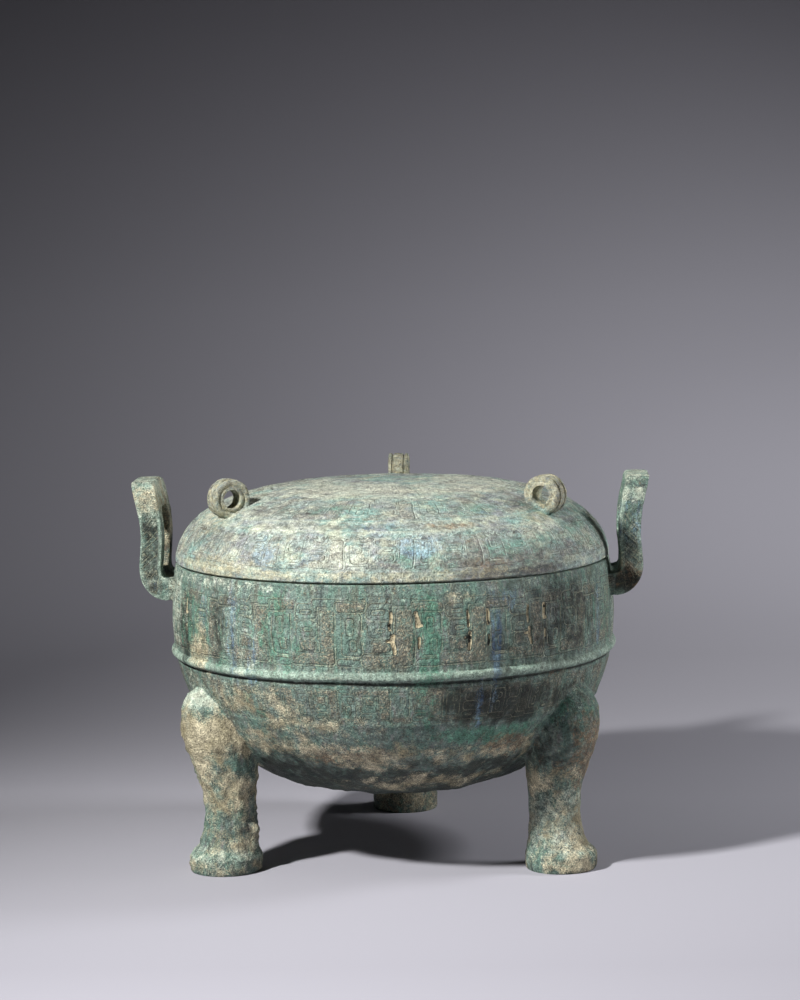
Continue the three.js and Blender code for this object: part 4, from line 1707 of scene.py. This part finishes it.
@dataclass(frozen=True)
class Patina:
    """Corroded bronze: a stained ground under broken covers of minerals, all finely grained."""

    name: str
    ground: Colour
    washes: tuple[Wash, ...]
    covers: tuple[Cover, ...]
    crest: Colour
    # The cut lines' dark colour is dark patina in the cuts and partly painted shade, and their pale colour is
    # a painted highlight beside each cut.
    line_dark: Colour
    line_highlight: Colour
    curl: Colour
    curl_dot: Colour
    grain: float = 0.95
    line_strength: float = 0.55
    soft: float = 0.06

    def material(self) -> bpy.types.Material:
        """The finish as a material.

        Returns:
            The material.
        """
        made = bpy.data.materials.new(self.name)
        bench = NodeBench(made)
        fine = bench.noise(0.85, 2, 1, 0.0, 0.6)
        coarse = bench.noise(2.3, 4, 1, 0.013, 0.65)
        colour = self.ground
        for index, wash in enumerate(self.washes):
            lumps = bench.noise(wash.size, 5, wash.upright, 0.03 + index * 0.017, 0.62)
            share = bench.times(bench.ramp(lumps, wash.low, wash.high), wash.strength)
            colour = bench.mix(share, colour, wash.colour)
        colour = self._curls(bench, colour)
        crest = bench.times(bench.stored(Trace.CREST), bench.ramp(coarse, 0.3, 0.6, 0.55, 0.95))
        colour = bench.mix(crest, colour, self.crest)
        for index, cover in enumerate(self.covers):
            colour = self._covered(bench, colour, cover, index, fine)
        colour, grooves = self._lines(bench, colour, fine)
        shade = bench.times(
            bench.ramp(fine, 0.3, 0.7, 1 - self.grain * 0.5, 1 + self.grain * 0.5),
            bench.ramp(coarse, 0.32, 0.68, 0.66, 1.44),
            bench.ramp(bench.noise(6, 3, 1, 0.083, 0.6), 0.34, 0.66, 0.8, 1.2),
            bench.ramp(bench.noise(1.5, 1, 1, 0.07), 0.22, 0.34, 0.55, 1.0),
        )
        grey = bench.node("ShaderNodeCombineColor")
        for socket in grey.inputs:
            bench.feed(socket, shade)
        colour = bench.mix(1.0, colour, grey.outputs[0], "MULTIPLY")
        shader = bench.node("ShaderNodeBsdfPrincipled")
        bench.feed(shader.inputs["Base Color"], colour)
        bench.feed(shader.inputs["Roughness"], bench.ramp(coarse, 0.3, 0.7, 0.48, 0.82))
        shader.inputs["Specular IOR Level"].default_value = 0.3
        bench.feed(shader.inputs["Normal"], self._bumps(bench, fine, coarse, grooves))
        bench.surface(shader)
        return made

    def _curls(self, bench: NodeBench, colour: Colour | bpy.types.NodeSocket) -> bpy.types.NodeSocket:
        """The colour with the bands of small curls in it."""
        curls = bench.stored(Trace.CURLS)
        uneven = bench.ramp(bench.noise(8), 0.4, 0.6, 0.25, 0.75)
        colour = bench.mix(bench.times(curls, uneven), colour, self.curl)
        dots = bench.ramp(bench.noise(1.15, 0, 1, 0.021), 0.55, 0.64)
        return bench.mix(bench.times(dots, curls, 0.55), colour, self.curl_dot)

    def _covered(
        self,
        bench: NodeBench,
        colour: bpy.types.NodeSocket,
        cover: Cover,
        index: int,
        fine: bpy.types.NodeSocket,
    ) -> bpy.types.NodeSocket:
        """The colour with one mineral's broken cover on it."""
        stored = bench.stored(cover.mineral)
        crumbs = bench.noise(cover.crumbs, 5, cover.upright, 0.11 + index * 0.019, 0.66)
        chance = bench.math("MULTIPLY_ADD", fine, 0.3, bench.math("MULTIPLY", crumbs, 0.7))
        need = bench.ramp(stored, 0.0, 1.0, 0.7, 0.33)
        share = bench.ramp(bench.math("SUBTRACT", chance, need), -0.7 * self.soft, self.soft)
        share = bench.times(share, bench.ramp(stored, 0.02, 0.15), cover.strength)
        patches = bench.noise(cover.crumbs * 1.7, 4, cover.upright, 0.29 + index * 0.023, 0.6)
        tone = bench.mix(bench.ramp(patches, 0.38, 0.6), cover.colour, cover.other)
        return bench.mix(share, colour, tone)

    def _lines(
        self, bench: NodeBench, colour: bpy.types.NodeSocket, fine: bpy.types.NodeSocket
    ) -> tuple[bpy.types.NodeSocket, bpy.types.NodeSocket]:
        """The colour with the incised lines, a painted highlight beside them and the slots in it, and how
        deep they are in mm.
        """
        outline, inner = bench.distance(Trace.OUTLINE), bench.distance(Trace.INNER)
        slot = bench.distance(Trace.SLOT)
        wear = bench.ramp(bench.noise(7, 3, 1, 0.051), 0.36, 0.58, 0.12, 1.0)
        first = bench.line(outline, 0.0, 0.48)
        second = bench.line(inner, 0.0, 0.42)
        third = bench.times(bench.line(outline, 1.25, 0.36), 0.6)
        cut = bench.math("MAXIMUM", bench.math("MAXIMUM", first, second), third)
        # Painted highlight: a pale line kept beside each cut, where a lit edge would shine.
        lit = bench.math("MAXIMUM", bench.line(outline, 0.62, 0.34), bench.line(inner, 0.55, 0.3))
        colour = bench.mix(bench.times(lit, wear, self.line_strength * 0.85), colour, self.line_highlight)
        # The dark cut lines: dark patina in the cuts and partly painted shade.
        colour = bench.mix(bench.times(cut, wear, self.line_strength), colour, self.line_dark)
        hole = bench.ramp(slot, 0.4, 0.05)
        filled = bench.ramp(bench.noise(7, 3, 1, 0.063), 0.38, 0.43)
        earth = bench.mix(bench.ramp(fine, 0.35, 0.65), srgb(196, 186, 156), srgb(170, 156, 124))
        colour = bench.mix(bench.times(bench.line(slot, 0.45, 0.42), 0.6), colour, self.line_dark)
        colour = bench.mix(hole, colour, bench.mix(filled, self.line_dark, earth))
        return colour, bench.math("MAXIMUM", bench.times(cut, wear, 0.3), bench.times(hole, 0.3))

    def _bumps(
        self,
        bench: NodeBench,
        fine: bpy.types.NodeSocket,
        coarse: bpy.types.NodeSocket,
        grooves: bpy.types.NodeSocket,
    ) -> bpy.types.NodeSocket:
        """The unevenness finer than the mesh, in millimetres of height."""
        curls = bench.times(bench.stored(Trace.CURLS), 0.8)
        loose = bench.math("MAXIMUM", bench.stored(Mineral.EARTH), curls)
        calm = bench.ramp(bench.stored(Trace.CREST), 0, 1, 1, 0.5)
        height = bench.times(fine, bench.math("MULTIPLY_ADD", loose, 0.7, 0.65), calm)
        height = bench.math("ADD", height, bench.times(coarse, 1.5, calm))
        height = bench.math("SUBTRACT", height, grooves)
        bump = bench.node("ShaderNodeBump")
        bump.inputs["Strength"].default_value = 1.0
        bump.inputs["Distance"].default_value = MM
        bench.feed(bump.inputs["Height"], height)
        return bump.outputs["Normal"]


# The dark cover's colour also paints the shade at the belly's bottom, under the ridge, on the legs' shaded
# sides and at the right handle's root.
DARK = Cover(Mineral.DARK, srgb(32, 39, 37), srgb(52, 54, 46), 8.0, 0.9)
RUST = Cover(Mineral.RUST, srgb(108, 88, 70), srgb(138, 114, 88), 4.0, 0.8)

BODY_PATINA = Patina(
    name="cauldron_patina",
    ground=srgb(106, 122, 114),
    washes=(
        Wash(srgb(96, 126, 112), 9, 5, 0.42, 0.6, 0.8),
        Wash(srgb(98, 96, 84), 6, 4, 0.5, 0.66, 0.65),
        Wash(srgb(146, 140, 140), 4, 3, 0.55, 0.7, 0.6),
        Wash(srgb(66, 74, 74), 4, 6, 0.56, 0.68, 0.75),
        Wash(srgb(158, 176, 156), 2.2, 2, 0.57, 0.68, 0.75),
        Wash(srgb(168, 152, 122), 1.8, 1, 0.6, 0.7, 0.7),
    ),
    covers=(
        DARK,
        Cover(Mineral.MALACHITE, srgb(62, 108, 88), srgb(92, 140, 118), 5.0, 0.8, 2.5),
        Cover(Mineral.AZURITE, srgb(56, 80, 108), srgb(116, 144, 164), 3.0, 0.75, 5.0),
        Cover(Mineral.PALE, srgb(164, 182, 166), srgb(196, 200, 180), 5.0, 0.85),
        RUST,
        Cover(Mineral.EARTH, srgb(146, 136, 108), srgb(200, 190, 160), 12.0, 0.95),
    ),
    crest=srgb(150, 168, 152),
    line_dark=srgb(50, 52, 46),
    line_highlight=srgb(170, 168, 140),
    soft=0.09,
    curl=srgb(104, 100, 88),
    curl_dot=srgb(170, 160, 134),
)

LID_PATINA = Patina(
    name="lid_patina",
    ground=srgb(148, 159, 152),
    washes=(
        Wash(srgb(126, 164, 154), 26, 0.6, 0.44, 0.62, 0.75),
        Wash(srgb(140, 136, 142), 18, 0.5, 0.48, 0.64, 0.65),
        Wash(srgb(186, 188, 164), 14, 0.6, 0.48, 0.62, 0.75),
        Wash(srgb(70, 78, 80), 8, 0.35, 0.56, 0.68, 0.7),
        Wash(srgb(66, 66, 62), 4, 0.25, 0.6, 0.7, 0.65),
        Wash(srgb(204, 210, 194), 3.4, 0.6, 0.58, 0.68, 0.6),
        Wash(srgb(184, 160, 128), 1.9, 1, 0.62, 0.7, 0.5),
    ),
    covers=(
        Cover(Mineral.DARK, srgb(72, 78, 78), srgb(102, 100, 94), 5.0, 0.85, 0.5),
        Cover(Mineral.MALACHITE, srgb(92, 144, 128), srgb(124, 168, 150), 9.0, 0.75, 0.6),
        Cover(Mineral.AZURITE, srgb(118, 146, 170), srgb(154, 182, 192), 9.0, 0.8, 0.8),
        Cover(Mineral.PALE, srgb(186, 192, 176), srgb(208, 208, 188), 11.0, 0.85, 0.5),
        RUST,
        Cover(Mineral.EARTH, srgb(158, 152, 120), srgb(188, 180, 148), 5.0, 0.8, 0.6),
    ),
    crest=srgb(174, 180, 160),
    line_strength=0.64,
    line_dark=srgb(74, 68, 62),
    line_highlight=srgb(190, 200, 184),
    curl=srgb(130, 128, 120),
    curl_dot=srgb(186, 184, 164),
    grain=0.7,
    soft=0.13,
)


# ---- the studio -----------------------------------------------------------------------------


@dataclass(frozen=True)
class Lamp:
    """A square soft light: where it hangs, what it points at, its side, power, tint and beam."""

    name: str
    place: tuple[float, float, float]
    aim: tuple[float, float, float]
    size: float
    power: float
    tint: tuple[float, float, float] = (1.0, 1.0, 1.0)
    spread: float = 180.0


@dataclass
class Studio:
    """A pale floor, painted lighter and darker in places, that curves up to a backdrop, soft lights and the
    camera.
    """

    floor_front: float = -2.6
    floor_back: float = 1.0
    half_width: float = 4.0
    curve: float = 1.6
    curve_steps: int = 24
    wall_height: float = 3.0
    room_light: float = 0.006
    lamps: tuple[Lamp, ...] = (
        Lamp("key_light", (-0.6, -0.64, 0.8), (0.161, -0.406, 0.195), 0.09, 9.0, (0.99, 0.99, 0.985), 105),
        Lamp("backdrop_light", (1.23, 0.71, 1.39), (0.457, 1.38, 0.46), 0.4, 4.6, (0.96, 0.965, 1.0), 79),
        Lamp("side_fill", (1.2, 0.12, 1.12), (0.7, 0.02, 0.0), 0.4, 5.8, (0.96, 0.965, 1.0), 125),
        Lamp("lid_fill", (1.5, 0.0, 0.36), (0.0, 0.0, 0.34), 0.3, 0.38, (0.98, 0.98, 1.0), 30),
    )
    lens: float = 100.0
    distance: float = 12.4408 * RIDGE_R
    eye_height: float = 2.8524 * RIDGE_R
    azimuth: float = 0.0505
    yaw: float = 0.0032
    pitch: float = 0.1015
    roll: float = 0.0183

    def build(self) -> None:
        """Sets up the stage, the lights and the camera."""
        self._stage()
        self._camera()
        self._lights()
        bpy.context.scene.view_settings.view_transform = "Standard"

    def _stage(self) -> None:
        """The floor and the backdrop, in one sweep."""
        Bench.clear()
        bpy.ops.mesh.primitive_plane_add(size=1)
        stage = bpy.context.object
        stage.name = stage.data.name = "floor_and_backdrop"
        points = Bench.points(stage)
        points[:, 0] *= 2 * self.half_width
        points[:, 1] = np.where(points[:, 1] < 0, self.floor_front, self.floor_back)
        Bench.place(stage, points)
        back = self.floor_back
        with Bench.editing(stage):
            bpy.ops.mesh.select_all(action="DESELECT")
            bpy.ops.mesh.select_mode(type="EDGE")
        for edge in stage.data.edges:
            edge.select = all(stage.data.vertices[i].co.y > back - 0.01 for i in edge.vertices)
        with Bench.editing(stage):
            for step in range(self.curve_steps):
                one, two = (math.pi / 2 * (step + i) / self.curve_steps for i in (0, 1))
                bpy.ops.mesh.extrude_edges_move(
                    TRANSFORM_OT_translate={
                        "value": (
                            0,
                            self.curve * (math.sin(two) - math.sin(one)),
                            self.curve * (math.cos(one) - math.cos(two)),
                        )
                    }
                )
            bpy.ops.mesh.extrude_edges_move(TRANSFORM_OT_translate={"value": (0, 0, self.wall_height)})
        Bench.smooth(stage, 60)
        paper = bpy.data.materials.new("backdrop_paper")
        bench = NodeBench(paper)
        shader = bench.node("ShaderNodeBsdfPrincipled")
        height = bench.node("ShaderNodeSeparateXYZ")
        bench.feed(height.inputs[0], bench.place)
        # Painted light and shade on the paper: darker at the front, lightest just behind the vessel, a little
        # darker further back, and much darker up the backdrop.
        upper = bench.ramp(height.outputs["Z"], 0.3, 1.4)
        depth = height.outputs["Y"]
        tone = bench.mix(bench.ramp(depth, -0.3, 0.15), srgb(157, 155, 163), srgb(190, 188, 196))
        tone = bench.mix(bench.ramp(depth, 0.25, 0.8), tone, srgb(172, 170, 177))
        tone = bench.mix(upper, tone, srgb(98, 96, 102))
        bench.feed(shader.inputs["Base Color"], tone)
        shader.inputs["Roughness"].default_value = 0.9
        bench.surface(shader)
        stage.data.materials.append(paper)

    def _camera(self) -> None:
        """The camera, at the height, turn and roll of the view."""
        data = bpy.data.cameras.new("camera")
        data.lens = self.lens
        data.sensor_width = 36
        data.clip_start, data.clip_end = 0.05, 50
        camera = bpy.data.objects.new("camera", data)
        bpy.context.scene.collection.objects.link(camera)
        bpy.context.scene.camera = camera
        place = Vector((math.sin(self.azimuth), -math.cos(self.azimuth), 0)) * self.distance
        place.z = self.eye_height
        heading = self.azimuth - self.yaw
        turn = Matrix.Rotation(heading, 4, "Z") @ Matrix.Rotation(math.pi / 2 - self.pitch, 4, "X")
        camera.matrix_world = Matrix.Translation(place) @ turn @ Matrix.Rotation(-self.roll, 4, "Z")

    def _light(self, lamp: Lamp) -> None:
        """Hangs one square soft light and turns it to what it is aimed at."""
        data = bpy.data.lights.new(lamp.name, "AREA")
        data.size = lamp.size
        data.energy = lamp.power
        data.color = lamp.tint
        data.spread = math.radians(lamp.spread)
        light = bpy.data.objects.new(lamp.name, data)
        bpy.context.scene.collection.objects.link(light)
        place = Vector(lamp.place)
        turn = (Vector(lamp.aim) - place).to_track_quat("-Z", "Y").to_matrix().to_4x4()
        light.matrix_world = Matrix.Translation(place) @ turn

    def _lights(self) -> None:
        """The lights, and a very weak even surrounding."""
        for lamp in self.lamps:
            self._light(lamp)
        world = bpy.data.worlds.new("room")
        bpy.context.scene.world = world
        world.use_nodes = True
        back = world.node_tree.nodes["Background"]
        back.inputs["Color"].default_value = (0.8, 0.82, 0.9, 1)
        back.inputs["Strength"].default_value = self.room_light


def main() -> None:
    """Builds the cauldron, the lid and the studio, in that order."""
    pieces = (
        (Cauldron().build(), BODY_PATINA, "cauldron", "body_bronze"),
        (Lid().build(), LID_PATINA, "lid", "lid_bronze"),
    )
    for piece, patina, node, slot in pieces:
        piece.data.materials.clear()
        piece.data.materials.append(patina.material())
        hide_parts(node)
        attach(piece, "root")
        triangles = sum(len(face.vertices) - 2 for face in piece.data.polygons)
        LOG.info("%s: %d vertices, %d triangles", piece.name, len(piece.data.vertices), triangles)
    Studio().build()


if __name__ == "__main__":
    logging.basicConfig(level=logging.INFO, format="%(name)s: %(message)s", stream=sys.stdout)
    main()
